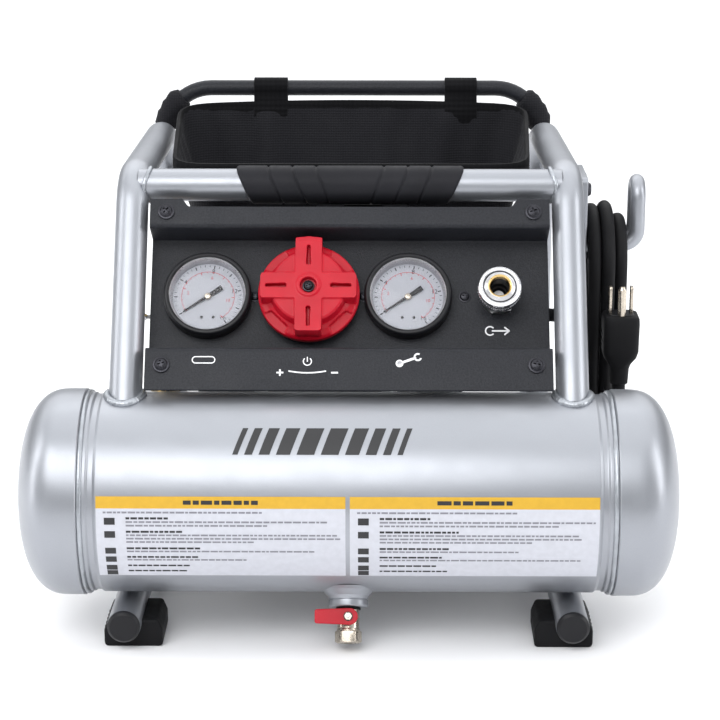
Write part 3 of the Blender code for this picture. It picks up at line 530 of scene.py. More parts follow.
def quads(rings, sides, looped=False):
    """The faces between rings of so many points, and from the last to the first when looped."""
    faces = []
    for i in range(rings if looped else rings - 1):
        j = (i + 1) % rings
        for k in range(sides):
            n = (k + 1) % sides
            faces.append((i * sides + k, i * sides + n, j * sides + n, j * sides + k))
    return faces


def capped(rings, sides):
    """The faces of quads, with one more at each end."""
    last = (rings - 1) * sides
    return [*quads(rings, sides), list(range(sides))[::-1], list(range(last, last + sides))]


def bent(corners, radii, steps=10):
    """Points along straight runs whose corners are arcs, of one radius or of one each."""
    if isinstance(radii, float):
        radii = [radii] * (len(corners) - 2)
    points = [Vector(corners[0])]
    for before, corner, after, radius in zip(corners, corners[1:], corners[2:], radii):
        corner = Vector(corner)
        into = (corner - Vector(before)).normalized()
        out = (Vector(after) - corner).normalized()
        turn = into.angle(out)
        if turn < 0.01:
            points.append(corner)
            continue
        reach = radius * math.tan(turn / 2)
        centre = corner + (out - into).normalized() * radius / math.cos(turn / 2)
        start = corner - into * reach - centre
        axis = into.cross(out).normalized()
        for i in range(steps + 1):
            points.append(centre + Matrix.Rotation(turn * i / steps, 3, axis) @ start)
    points.append(Vector(corners[-1]))
    return points


def curve_through(route, spacing):
    """Points a set distance apart along a smooth curve through the route's points."""
    knots = [Vector(p) for p in route]
    knots = [2 * knots[0] - knots[1], *knots, 2 * knots[-1] - knots[-2]]
    points = []
    for a, b, c, d in zip(knots, knots[1:], knots[2:], knots[3:]):
        pieces = max(1, round((c - b).length / spacing))
        for i in range(pieces):
            t = i / pieces
            pull = (2 * b) + (c - a) * t + (2 * a - 5 * b + 4 * c - d) * t * t
            points.append((pull + (3 * b - a - 3 * c + d) * t**3) / 2)
    points.append(knots[-2])
    return points


def swept(name, points, radius, finish=None, sides=32, closed=False, sharp=38):
    """A round bar along the points. The radius is a number, or a function of the share of the way along and
    of the turn round the bar."""
    points = [Vector(p) for p in points]
    count = len(points)
    tangents = []
    for i in range(count):
        before = points[i - 1] if closed or i else points[0]
        after = points[(i + 1) % count] if closed or i < count - 1 else points[-1]
        tangents.append((after - before).normalized())
    side = tangents[0].orthogonal().normalized()
    sides_at = [side]
    for a, b in zip(tangents, tangents[1:]):
        side = a.rotation_difference(b) @ side
        side = (side - b * side.dot(b)).normalized()
        sides_at.append(side)
    verts = []
    for i, (point, along, side) in enumerate(zip(points, tangents, sides_at)):
        other = along.cross(side)
        for k in range(sides):
            a = 2 * math.pi * k / sides
            r = radius(i / (count - 1), a) if callable(radius) else radius
            verts.append(point + (side * math.cos(a) + other * math.sin(a)) * r)
    faces = quads(count, sides, True) if closed else capped(count, sides)
    return solid(name, verts, faces, finish, None, sharp)


def ring(name, radius, thickness, finish, matrix=None, segments=72, sides=12):
    """A torus about the local Z."""
    profile = circle(thickness, sides, (radius, 0))
    return lathe(name, profile, finish, matrix, segments, closed=True, sharp=180)


def settled(obj):
    """The object's mesh as its modifiers leave it."""
    bpy.context.view_layer.update()
    graph = bpy.context.evaluated_depsgraph_get()
    return bpy.data.meshes.new_from_object(obj.evaluated_get(graph))


def gathered(name, parts, matrix=None):
    """Several objects made one, each part with its own material, about the matrix's origin."""
    matrix = matrix or Matrix.Identity(4)
    into = matrix.inverted()
    shape = bmesh.new()
    finishes = []
    for part in parts:
        mesh = settled(part)
        mesh.transform(into @ part.matrix_world)
        if part.matrix_world.determinant() < 0:
            mesh.flip_normals()
        offset = []
        for finish in mesh.materials:
            if finish not in finishes:
                finishes.append(finish)
            offset.append(finishes.index(finish))
        before = len(shape.faces)
        shape.from_mesh(mesh)
        shape.faces.ensure_lookup_table()
        for face in shape.faces[before:]:
            face.material_index = offset[face.material_index] if offset else 0
    mesh = bpy.data.meshes.new(name)
    shape.to_mesh(mesh)
    shape.free()
    for part in parts:
        bpy.data.objects.remove(part)
    for finish in finishes:
        mesh.materials.append(finish)
    made = new_object(name, mesh)
    made.matrix_world = matrix
    return made


def carved(obj, cutters, operation="DIFFERENCE"):
    """The object after a Boolean with each cutter. The cutters are used up."""
    for cutter in cutters:
        made = obj.modifiers.new("carve", "BOOLEAN")
        made.operation = operation
        made.solver = "EXACT"
        made.object = cutter
    mesh = settled(obj)
    obj.modifiers.clear()
    obj.data = mesh
    for cutter in cutters:
        bpy.data.objects.remove(cutter)
    mesh.shade_smooth()
    mesh.set_sharp_from_angle(angle=math.radians(32))
    return obj


def remeshed(obj, voxel, passes=3):
    """The object as one skin of even cells with its edges eased, as a moulding has."""
    grid = obj.modifiers.new("grid", "REMESH")
    grid.mode = "VOXEL"
    grid.voxel_size = voxel
    ease = obj.modifiers.new("ease", "SMOOTH")
    ease.factor = 0.5
    ease.iterations = passes
    mesh = settled(obj)
    finishes = list(obj.data.materials)
    obj.modifiers.clear()
    obj.data = mesh
    mesh.materials.clear()
    for finish in finishes[:1]:
        mesh.materials.append(finish)
    mesh.shade_smooth()
    return obj


def put(obj, body, slot, *nodes):
    """The piece moves with the body and stands for the nodes. The slot is not used."""
    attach(obj, body)
    if nodes:
        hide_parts(*nodes)
    return obj


def fixed(name, parts, seat, slot, *nodes):
    """Several parts made one piece that stays with the frame."""
    return put(gathered(name, parts, seat), "frame", slot, *nodes)


def turn(axis, degrees):
    return Matrix.Rotation(math.radians(degrees), 4, axis)


def shift(x, y=0.0, z=0.0):
    return Matrix.Translation(x if isinstance(x, Vector) else (x, y, z))


ALONG_X = turn("Y", 90)
ALONG_MINUS_X = turn("Y", -90)
ALONG_Y = turn("X", -90)
ALONG_MINUS_Y = turn("X", 90)
TANK = shift(Vector((0, TANK_Y, TANK_Z)))
PANEL = shift(Vector((0, TANK_Y, ROOT_HEIGHT))) @ Matrix.Rotation(math.pi / 2 - LEAN, 4, "X")


def on_panel(x, v, n=MAIN_FACE):
    """A frame on the panel: x across, v up the lean, n out of it."""
    return PANEL @ shift(x, v, n)


def weld_bead(name, points, radius, *waves, sides=14):
    """A closed bead along the points, its radius rippled by (depth, count) waves."""

    def ripple(share, _):
        return radius + sum(depth * math.sin(share * 2 * math.pi * count) for depth, count in waves)

    bead = swept(name, points, ripple, WELD, sides=sides, closed=True, sharp=180)
    put(bead, "frame", "silver_paint")


# Tank


def tank_shell():
    """A rolled shell, swaged in a little beside each head."""
    steps = [
        (TANK_RADIUS - 0.002, 0.149), (TANK_RADIUS - 0.0003, 0.149), (TANK_RADIUS - 0.0003, 0.1452),
        (TANK_RADIUS - 0.0012, 0.144), (TANK_RADIUS - 0.0012, 0.1412), (TANK_RADIUS, 0.1396),
        (TANK_RADIUS, 0.07), (TANK_RADIUS, 0.0),
    ]
    half = rounded(steps, 0.0012, 5)
    profile = half + [(r, -x) for r, x in half[-2::-1]]
    shell = lathe("tank_body", profile, SILVER, TANK @ ALONG_X, segments=144)
    put(shell, "frame", "silver_paint", "tank_shell")


def tank_end(word, side):
    """A pressed head: a shallow dome, its skirt lapped over the shell, and the weld that closes the lap."""
    length = TANK_END - DOME_START
    dome, steps, fullness = [], 24, 2 / 2.5
    for i in range(steps + 1):
        angle = math.pi / 2 * (1 - i / steps)
        r = SKIRT_RADIUS * max(0.0, math.cos(angle)) ** fullness if i else 0.0
        dome.append((r, DOME_START + length * math.sin(angle) ** fullness))
    profile = [*dome, (SKIRT_RADIUS, SKIRT_START + 0.0006), (SKIRT_RADIUS - 0.0006, SKIRT_START)]
    profile.append((TANK_RADIUS - 0.001, SKIRT_START))
    matrix = TANK @ (ALONG_X if side > 0 else ALONG_MINUS_X)
    head = lathe("head_" + word, profile, SILVER, matrix, segments=144)
    put(head, "frame", "silver_paint", "tank_head_" + word)

    points, radius = [], SKIRT_RADIUS - 0.0023
    for i in range(240):
        a = 2 * math.pi * i / 240
        points.append(
            (side * (SKIRT_START - 0.0014), behind(radius * math.cos(a)), TANK_Z + radius * math.sin(a))
        )
    weld_bead("head_weld_" + word, points, 0.0017, (0.00012, 120))


def on_tank(x, angle, lift=0.0):
    """A point on the shell, by its angle above the front."""
    a = math.radians(angle)
    r = TANK_RADIUS + lift
    return Vector((x, TANK_Y - r * math.cos(a), TANK_Z + r * math.sin(a)))


class Print:
    """Flat shapes laid on the tank's shell, gathered into one mesh for each ink."""

    def __init__(self, name, finish, lift):
        self.name, self.finish, self.lift = name, finish, lift
        self.verts, self.faces = [], []

    def patch(self, left, right, top, bottom, slant=0.0, columns=1):
        """A four-sided patch between two distances along the tank and two angles."""
        rows = max(1, math.ceil((top - bottom) / 2.0))
        start = len(self.verts)
        for j in range(rows + 1):
            share = j / rows
            angle = bottom + (top - bottom) * share
            for i in range(columns + 1):
                x = left + (right - left) * i / columns + slant * share
                self.verts.append(on_tank(x, angle, self.lift))
        wide = columns + 1
        for j in range(rows):
            for i in range(columns):
                a = start + j * wide + i
                self.faces.append((a, a + 1, a + wide + 1, a + wide))

    def line(self, random_source, left, right, middle, height, dense=1.0):
        """A row of short dashes, like a line of small print."""
        x = left
        while x < right - 0.0012:
            wide = min(right - x, random_source.uniform(0.0018, 0.0058) * dense)
            self.patch(x, x + wide, middle + height / 2, middle - height / 2)
            x += wide + 0.0008 * dense

    def done(self):
        mesh = bpy.data.meshes.new(self.name)
        mesh.from_pydata([tuple(v) for v in self.verts], [], self.faces)
        mesh.shade_smooth()
        made = new_object(self.name, mesh, self.finish)
        return put(made, "frame", "silver_paint")


LABEL_LEFT, LABEL_RIGHT = -0.1390, 0.1390
LABEL_TOP, LABEL_FOLD, LABEL_BOTTOM = 16.5, 9.8, -35.3
LABEL_LIFT, INK_LIFT, MARK_LIFT = 0.00012, 0.00020, 0.00015
LABEL_GAP = 0.0012
# The angle of each block's top and its number of lines
LABEL_BLOCKS = ((5.2, 3), (-2.6, 4), (-13.0, 2), (-19.0, 2), (-25.5, 1), (-30.0, 1))
INDENT = 0.0165
MARK_TOP, MARK_BOTTOM, MARK_SLANT = 57.0, 40.0, 0.0055


def tank_label():
    """A plain two-part label: a yellow band over a pale field with rows of dashes in place of words."""
    field = Print("label_field", LABEL, LABEL_LIFT)
    band = Print("label_band", YELLOW, LABEL_LIFT)
    bold = Print("label_marks", INK_BLACK, INK_LIFT)
    small = Print("label_lines", INK_GREY, INK_LIFT)
    draw = random.Random(7)
    for left, right in ((LABEL_LEFT, -LABEL_GAP), (LABEL_GAP, LABEL_RIGHT)):
        field.patch(left, right, LABEL_FOLD, LABEL_BOTTOM, columns=24)
        band.patch(left, right, LABEL_TOP, LABEL_FOLD, columns=24)
        wide = (right - left) * 0.30
        centre = (left + right) / 2
        bold.line(draw, centre - wide / 2, centre + wide / 2, (LABEL_TOP + LABEL_FOLD) / 2, 2.3, 1.4)
        small.line(draw, left + 0.004, right - 0.045, 7.6, 1.0, 0.8)
        for top, lines in LABEL_BLOCKS:
            head_width = draw.uniform(0.024, 0.044)
            bold.line(draw, left + INDENT, left + INDENT + head_width, top - 0.9, 1.2, 0.8)
            icon = left + 0.0075
            bold.patch(icon - 0.0030, icon + 0.0030, top - 0.6, top - 4.6)
            for k in range(1, lines):
                end = right - draw.uniform(0.004, 0.030) * (2 if k == lines - 1 else 0.4)
                small.line(draw, left + INDENT, end, top - 0.9 - 2.1 * k, 1.0, 0.8)
    for shape in (field, band, bold, small):
        shape.done()


def tank_mark():
    """A plain decorative row of slanted bars, in place of any name."""
    ink = Print("tank_mark", INK_BLACK, MARK_LIFT)
    x, gap = -0.0640, 0.0036
    bars = [0.0030, 0.0044, 0.0060, 0.0078, 0.0098]
    for wide in [*bars, *reversed(bars)]:
        ink.patch(x, x + wide, MARK_TOP, MARK_BOTTOM, MARK_SLANT, 2)
        x += wide + gap
    ink.done()


# Side frames, handle and feet


def frame_x(distance):
    share = min(1.0, max(0.0, (distance - HANDLE_BEHIND) / (REAR_LEG - HANDLE_BEHIND)))
    return FRAME_X_FRONT + (FRAME_X_REAR - FRAME_X_FRONT) * share


def frame_points(side):
    crest = (TOP_RUN_HEIGHT - ROOT_HEIGHT) * math.tan(LEAN)
    stations = [
        (0, ROOT_HEIGHT - 0.006), (crest, TOP_RUN_HEIGHT), (REAR_LEG, TOP_RUN_HEIGHT),
        (REAR_LEG, FOOT_TUBE_HEIGHT), (FOOT_TUBE_FRONT, FOOT_TUBE_HEIGHT),
    ]
    corners = [at(side * frame_x(d), d, z) for d, z in stations]
    return bent(corners, (FRONT_BEND, REAR_BEND, REAR_BEND), 14)


def root_weld(word, side):
    """The fillet weld where an upright meets the top of the tank."""
    along = Vector((0, math.sin(LEAN), math.cos(LEAN)))
    across = Vector((1, 0, 0))
    back = along.cross(across)
    foot = at(side * FRAME_X_FRONT, 0, ROOT_HEIGHT)
    points = []
    radius = TUBE_RADIUS + 0.0006
    for i in range(96):
        a = 2 * math.pi * i / 96
        start = foot + across * radius * math.cos(a) + back * radius * math.sin(a)
        y, z = start.y - TANK_Y, start.z - TANK_Z
        b = y * along.y + z * along.z
        c = y * y + z * z - (TANK_RADIUS + 0.0005) ** 2
        points.append(start + along * (-b + math.sqrt(max(0.0, b * b - c))))
    weld_bead("upright_weld_" + word, points, 0.0021, (0.00022, 34), (0.00015, 5))


def side_frames():
    for word, side in SIDES:
        tube = swept("frame_tube_" + word, frame_points(side), TUBE_RADIUS, SILVER, sides=40)
        put(tube, "frame", "silver_paint", "side_frame_" + word)
        root_weld(word, side)
        x = side * frame_x(FOOT_TUBE_FRONT)
        cap = turned(
            "tube_cap_" + word, [(0, 3.4), (3, 3.3), (7.8, 3), (9.4, 1.4), (9.4, -0.2), (8, -3)], 0.0008,
            PLASTIC, shift(at(x, FOOT_TUBE_FRONT - 0.0003, FOOT_TUBE_HEIGHT)) @ ALONG_MINUS_Y, segments=48,
        )
        put(cap, "frame", "black_plastic", "foot_cap_" + word)
        for place, distance in (("front", -0.015), ("rear", 0.186)):
            rubber_foot(f"{place}_{word}", side, distance)


def rubber_foot(word, side, distance):
    """A moulded saddle that wraps the lower half of the foot tube, ribbed along its outer edge."""
    x = side * (frame_x(distance) - 0.0045)
    outline = rounded(
        mm((-16.75, 0), (16.75, 0), (16.75, 10), (14.2, 16.3), (-14.2, 16.3), (-16.75, 10)), 0.0026, 4,
        closed=True,
    )
    place = shift(at(x, distance, 0)) @ turn("X", 90)
    foot = prism("foot_body", outline, -0.0170, 0.0170, RUBBER, place, 0.0012)
    ribs = []
    for k in (-2, -1, 0, 1, 2):
        rib = shift(at(x + side * 0.0163, distance + 0.0056 * k, 0.0062))
        ribs.append(block("foot_rib", (0.0012, 0.0016, 0.0090), RUBBER, rib, 0.0004))
    fixed("rubber_foot_" + word, [foot, *ribs], None, "black_rubber", "foot_" + word)


def handle():
    tube = lathe(
        "handle_bar", [(TUBE_RADIUS, 0.124), (TUBE_RADIUS, 0.0), (TUBE_RADIUS, -0.124)], SILVER,
        shift(at(0, HANDLE_BEHIND, HANDLE_HEIGHT)) @ ALONG_X, segments=64,
    )
    put(tube, "frame", "silver_paint", "handle_tube")
    for word, side in SIDES:
        points = []
        for i in range(64):
            a = 2 * math.pi * i / 64
            r = TUBE_RADIUS + 0.0004
            y, z = r * math.cos(a), r * math.sin(a)
            reach = math.sqrt(max(0.0, r**2 - 0.55 * y * y))
            points.append(
                (side * (FRAME_X_FRONT - 0.0004 - reach), behind(HANDLE_BEHIND + y), HANDLE_HEIGHT + z)
            )
        weld_bead("handle_weld_" + word, points, 0.0013, (0.00016, 24), sides=12)


def grip():
    """A rubber sleeve with slanted ends and three slanted grooves towards each end."""
    slope, lip, groove_half, groove_depth = 0.40, 0.0016, 0.0011, 0.0010
    grooves = [side * g for side in (-1, 1) for g in (0.0155, 0.0295, 0.0435)]
    long_steps, round_steps = 260, 72
    verts = []
    for i in range(long_steps + 1):
        share = 2 * i / long_steps - 1
        for k in range(round_steps):
            a = 2 * math.pi * k / round_steps
            z = GRIP_RADIUS * math.sin(a)
            half = GRIP_HALF - 0.0030 + slope * z
            x = share * half
            radius = GRIP_RADIUS
            from_end = half - abs(x)
            if from_end < lip:
                radius -= 0.0009 * (1 - from_end / lip) ** 2
            for groove in grooves:
                side = 1 if groove > 0 else -1
                gap = abs(x - (groove + side * slope * z * abs(share) / max(abs(share), 0.3)))
                if gap < groove_half:
                    radius -= groove_depth * math.cos(gap / groove_half * math.pi / 2)
            bulge = 0.0002 * math.cos(share * math.pi / 2)
            radius = min(GRIP_RADIUS, radius + bulge)
            verts.append((x, radius * math.cos(a), radius * math.sin(a)))
    faces = quads(long_steps + 1, round_steps)
    for i in (0, long_steps):
        rim = [i * round_steps + k for k in range(round_steps)]
        start = len(verts)
        for k in range(round_steps):
            x, y, z = verts[rim[k]]
            share = (TUBE_RADIUS - 0.0004) / math.hypot(y, z)
            verts.append((x, y * share, z * share))
        for k in range(round_steps):
            n = (k + 1) % round_steps
            faces.append((rim[k], rim[n], start + n, start + k))
    made = solid("grip_sleeve", verts, faces, GRIP_RUBBER, shift(at(0, HANDLE_BEHIND, HANDLE_HEIGHT)), 60)
    put(made, "frame", "black_rubber", "handle_grip")


# Control panel

GAUGE_HOLE, KNOB_HOLE, COUPLER_HOLE = 0.0244, 0.0115, 0.0080
SMALL = Matrix.Diagonal((0.72, 0.72, 0.72, 1))
FLAT = 0.00015


def panel_sheet():
    """The folded sheet, its folds rounded outside and inside, with a notch along its top edge."""
    back = PANEL_SHEET
    section = [
        (0, FLANGE_FACE), (0, FLANGE_FACE - back), (LOWER_FLANGE_TOP - back, FLANGE_FACE - back),
        (LOWER_FLANGE_TOP - back, MAIN_FACE - back), (UPPER_FLANGE_BOTTOM + back, MAIN_FACE - back),
        (UPPER_FLANGE_BOTTOM + back, FLANGE_FACE - back), (PANEL_HEIGHT, FLANGE_FACE - back),
        (PANEL_HEIGHT, FLANGE_FACE), (UPPER_FLANGE_BOTTOM, FLANGE_FACE), (UPPER_FLANGE_BOTTOM, MAIN_FACE),
        (LOWER_FLANGE_TOP, MAIN_FACE), (LOWER_FLANGE_TOP, FLANGE_FACE),
    ]
    inner, outer, edge = 0.0014, 0.0032, 0.0005
    radii = [edge, edge, inner, outer, outer, inner, edge, edge, outer, inner, inner, outer]
    outline = rounded(section, radii, 5, closed=True)
    across = PANEL @ Matrix(((0, 0, 1, 0), (1, 0, 0, 0), (0, 1, 0, 0), (0, 0, 0, 1)))
    sheet = prism("panel_sheet", outline, -PANEL_HALF_WIDTH, PANEL_HALF_WIDTH, PANEL_BLACK, across)
    notch = rounded(mm((-94, 0), (94, 0), (102, 12), (-102, 12)), (0.003, 0.003, 0, 0), 5, True)
    cutters = [prism("notch", notch, -0.01, 0.01, None, on_panel(0, 0.112, FLANGE_FACE))]
    holes = (
        (TANK_GAUGE_X, GAUGE_HOLE), (TOOL_GAUGE_X, GAUGE_HOLE), (KNOB_X, KNOB_HOLE),
        (COUPLER_X, COUPLER_HOLE),
    )
    for x, radius in holes:
        cutters.append(prism("hole", circle(radius, 48), -0.006, 0.006, None, on_panel(x, ROW)))
    carved(sheet, cutters)
    soften(sheet, 0.00035, 2, 50)
    put(sheet, "frame", "panel_black", "control_panel")


def screw_mesh():
    """A washer-head screw with a cross recess."""
    profile = [(0, 3), (1.6, 2.9), (3, 2.4), (3.8, 1.2), (4.8, 1.1), (4.8, 0.4), (2, 0.3), (2, -8), (0, -8)]
    screw = turned("screw", profile, 0.0004, ZINC, None, 48)
    span, width, depth = 0.0042, 0.0010, 0.0030
    sizes = ((span, width, depth), (width, span, depth))
    return carved(screw, [block("slot", size, None, shift(0, 0, depth), 0) for size in sizes])


def panel_screws():
    pattern = screw_mesh()
    rows = list(zip(("lower", "upper"), PANEL_SCREW_ROWS))
    places = [(f"{height}_{word}", side * PANEL_SCREW_X, v) for word, side in SIDES for height, v in rows]
    for i, (name, x, v) in enumerate(places):
        matrix = on_panel(x, v, FLANGE_FACE) @ turn("Z", 17 + 31 * i)
        screw = new_object("corner_screw_" + name, pattern.data.copy(), None, matrix)
        put(screw, "frame", "bare_steel", "panel_screw_" + name)
    small = []
    for i, x in enumerate((-0.0550, 0.0080, 0.0670)):
        matrix = on_panel(x, 0.064) @ turn("Z", 40 * i) @ SMALL @ shift(0, 0, -0.0004)
        small.append(new_object("small_screw", pattern.data.copy(), None, matrix))
    bpy.data.objects.remove(pattern)
    fixed("panel_studs", small, on_panel(0, ROW), "bare_steel")


def flat_shape(outline, matrix):
    return prism("mark", outline, -0.0002, FLAT, INK_WHITE, matrix)


def panel_symbols():
    """Plain white symbols: what each control does is shown without words."""
    flats = []

    def bar(x, v, wide, tall, n, tilt=0.0):
        outline = rounded(
            [(-wide / 2, -tall / 2), (wide / 2, -tall / 2), (wide / 2, tall / 2), (-wide / 2, tall / 2)],
            tall * 0.3, 3, True,
        )
        flats.append(flat_shape(outline, on_panel(x, v, n) @ turn("Z", tilt)))

    def arc(x, v, radius, start, end, thick, n):
        flats.append(flat_shape(arc_band(radius, thick, start, end), on_panel(x, v, n)))

    face = FLANGE_FACE
    # A tank: a long rounded outline
    arc(TANK_GAUGE_X - 0.0045, 0.0180, 0.0022, 90, 270, 0.0006, face)
    arc(TANK_GAUGE_X + 0.0045, 0.0180, 0.0022, -90, 90, 0.0006, face)
    bar(TANK_GAUGE_X, 0.0199, 0.0092, 0.0006, face)
    bar(TANK_GAUGE_X, 0.0161, 0.0092, 0.0006, face)
    # The regulator: a dial between less and more, and plus and minus below it
    arc(KNOB_X, 0.0172, 0.0026, -230, 50, 0.0006, face)
    bar(KNOB_X, 0.0185, 0.0006, 0.0030, face)
    arc(KNOB_X, 0.0640, 0.0540, 258.5, 281.5, 0.0008, face)
    bar(KNOB_X - 0.0155, 0.0105, 0.0040, 0.0010, face)
    bar(KNOB_X - 0.0155, 0.0105, 0.0010, 0.0040, face)
    bar(KNOB_X + 0.0155, 0.0105, 0.0040, 0.0010, face)
    # A tool: a spanner
    bar(TOOL_GAUGE_X, 0.0180, 0.0090, 0.0014, face, 20)
    arc(TOOL_GAUGE_X + 0.0052, 0.0199, 0.0024, 60, 340, 0.0010, face)
    arc(TOOL_GAUGE_X - 0.0052, 0.0161, 0.0022, 0, 360, 0.0008, face)
    # The outlet: an arrow out of a ring
    low = 0.0430
    arc(COUPLER_X - 0.0050, low, 0.0030, 40, 320, 0.0008, MAIN_FACE)
    bar(COUPLER_X + 0.0010, low, 0.0100, 0.0009, MAIN_FACE)
    bar(COUPLER_X + 0.0048, low + 0.0011, 0.0040, 0.0009, MAIN_FACE, -40)
    bar(COUPLER_X + 0.0048, low - 0.0011, 0.0040, 0.0009, MAIN_FACE, 40)
    fixed("panel_symbols", flats, on_panel(0, ROW), "panel_black")


def dial_text(words, size, x, y, finish, matrix):
    """Dial figures, as a mesh."""
    curve = bpy.data.curves.new("figure", "FONT")
    curve.body = words
    curve.size = size
    curve.align_x = "CENTER"
    curve.align_y = "CENTER"
    curve.resolution_u = 3
    text = bpy.data.objects.new("figure", curve)
    bpy.context.scene.collection.objects.link(text)
    mesh = settled(text)
    bpy.data.objects.remove(text)
    mesh.materials.clear()
    return new_object("figure", mesh, finish, matrix @ shift(x, y, 0.00006))


SCALE_START, SCALE_SWEEP = 214.0, -270.0
SCALE_RADIUS = 0.0155


def gauge(word, x):
    """A dial gauge: bezel, inner lip, dial with two scales, pointer on its hub and a lens."""
    seat = on_panel(x, ROW)
    profile = [
        (0.0208, 0.002), (0.0212, 0.0058), (0.0222, 0.0084), (0.0232, 0.0092), (0.0247, 0.009),
        (GAUGE_RADIUS, 0.0074), (GAUGE_RADIUS, 0.0006), (0.025, 0.0003), (0.024, 0.0003), (0.024, -0.02),
        (0.0225, -0.0205), (0.005, -0.0205), (0.005, -0.0237), (0, -0.0237),
    ]
    case = lathe("gauge_bezel", rounded(profile, 0.0009), PLASTIC, seat, segments=128)
    lip = turned(
        "gauge_lip", [(20.4, 1.9), (20.7, 4.2), (21.4, 7), (22.1, 8.3), (22.5, 8)], 0.0006, STEEL, seat,
        segments=128,
    )
    dial = lathe("gauge_dial", mm((0, 2), (21.1, 2), (21.1, 1.4)), DIAL_WHITE, seat, segments=96)
    parts = [case, lip, dial]
    face = seat @ shift(0, 0, 0.0020)

    def tick(angle, start, end, wide, finish):
        a = math.radians(angle)
        along, side = Vector((math.cos(a), math.sin(a))), Vector((-math.sin(a), math.cos(a)))
        corners = [
            along * start - side * wide, along * end - side * wide, along * end + side * wide,
            along * start + side * wide,
        ]
        parts.append(prism("tick", [tuple(c) for c in corners], 0, 0.00008, finish, face))

    # Marks, where the long and the short ones start, where they end, half widths of both, ink
    scales = (
        (32, 0.0176, 0.0184, 0.0196, 0.0003, 0.00015, INK_BLACK),
        (20, 0.0138, 0.0145, SCALE_RADIUS, 0.00022, 0.00012, INK_RED),
    )
    for marks, long, short, end, bold, fine, ink in scales:
        for i in range(marks + 1):
            major = i % 4 == 0
            angle = SCALE_START + SCALE_SWEEP * i / marks
            tick(angle, long if major else short, end, bold if major else fine, ink)
    rim = arc_band(SCALE_RADIUS, 0.00024, SCALE_START, SCALE_START + SCALE_SWEEP, 90)
    parts.append(prism("scale_line", rim, 0, 0.00007, INK_RED, face))
    # How many figures, the first, size, radius, rise, shift in steps, steps in the sweep, ink
    figures = (
        (5, 0, 0.0038, 0.0157, 0.0002, 0.0, 4, INK_BLACK), (3, 2, 0.0028, 0.0118, 0.0, 0.5, 3, INK_RED),
    )
    for count, least, size, radius, rise, offset, steps, ink in figures:
        for i in range(count):
            a = math.radians(SCALE_START + SCALE_SWEEP * (i + offset) / steps)
            x, y = radius * math.cos(a), radius * math.sin(a) + rise
            parts.append(dial_text(str(i * 4 + least), size, x, y, ink, face))
    for side in (-1, 1):
        parts.append(
            prism(
                "dial_screw", circle(0.00085, 18, (side * 0.0034, -0.0126)), 0, 0.0004, INK_BLACK, face,
                0.00015,
            )
        )
    fixed(word + "_gauge", parts, seat, "black_plastic", word + "_gauge_case")

    axis = seat @ shift(0, 0, 0.0032) @ turn("Z", SCALE_START)
    outline = rounded(
        mm(
            (-9.8, -1.5), (-9.8, 1.5), (-4, 1.2), (0, 0.9), (17.2, 0.3), (17.2, -0.3), (0, -0.9),
            (-4, -1.2),
        ),
        0.0003, 3, True,
    )
    needle = prism("needle", outline, -0.0003, 0.0003, INK_BLACK, axis, 0.00008)
    hub = turned(
        "hub", [(0, 1), (1.6, 0.9), (2.1, 0.2), (2.1, -0.9), (0, -0.9)], 0.0003, NICKEL_BRASS, axis, 32,
    )
    made = gathered(word + "_pointer_needle", [needle, hub], axis)
    put(made, word + "_pointer", "black_plastic", word + "_gauge_pointer")

    lens = turned(
        word + "_lens", [(0, 8.8), (12, 8.6), (20.5, 7.8), (22, 7.4), (22, 6.9), (20.4, 6.9), (0, 7.7)],
        0.0004, GLASS, seat, segments=96,
    )
    put(lens, "frame", "clear_lens", word + "_gauge_lens")


def knob():
    """The regulator's hand knob: a flange, a raised disc with four slotted arms, and a stop tab on top."""
    seat = on_panel(KNOB_X, ROW)
    profile = [
        (0, 0.0212), (0.0208, 0.0212), (0.0218, 0.0202), (0.0224, 0.0142), (0.025, 0.0122), (0.028, 0.0112),
        (KNOB_RADIUS, 0.0096), (KNOB_RADIUS, 0.0062), (0.0282, 0.0048), (0, 0.0048),
    ]
    body = lathe("knob_body", rounded(profile, 0.0009), RED, seat, segments=128)
    leads, above = [seat @ turn("Z", 90 * i) for i in range(4)], 0.0300
    adds = []
    arm = mm((0, -8), (26.8, -7.6), (27.6, -6.2), (27.6, 6.2), (26.8, 7.6), (0, 8))
    for lead in leads:
        adds.append(prism("arm", arm, 0.0060, 0.0224, RED, lead))
    adds.append(lathe("boss", mm((0, 23), (6.6, 23), (7.4, 22.2), (7.4, 6), (0, 6)), RED, seat, 64))
    tab = rounded(mm((-7.7, 25), (7.7, 25), (7.7, 30.6), (0, 31.4), (-7.7, 30.6)), 0.0006, 3, True)
    adds.append(prism("tab", tab, 0.0056, 0.0190, RED, seat))
    cuts = []
    slot = rounded(mm((12.6, -1.3), (24.8, -1), (24.8, 1), (12.6, 1.3)), 0.001, 3, True)
    recess = rounded(mm((23.6, -7), (30, -9.6), (30, 9.6), (23.6, 7)), 0.0012, 3, True)
    for lead in leads:
        cuts.append(prism("slot", slot, 0.0186, above, RED, lead))
        cuts.append(prism("recess", recess, 0.0100, above, RED, lead @ turn("Z", 45)))
    cuts.append(prism("well", circle(0.0048, 40), 0.0196, above, RED, seat))
    carved(body, adds, "UNION")
    carved(body, cuts)
    remeshed(body, 0.0004, 2)
    screw = screw_mesh()
    screw.matrix_world = seat @ shift(0, 0, 0.0197) @ turn("Z", 25) @ Matrix.Diagonal((0.72, 0.72, 0.9, 1))
    made = gathered("regulator_hand_knob", [body, screw], seat)
    put(made, "knob", "red_plastic", "regulator_knob")


RIDGES = 48


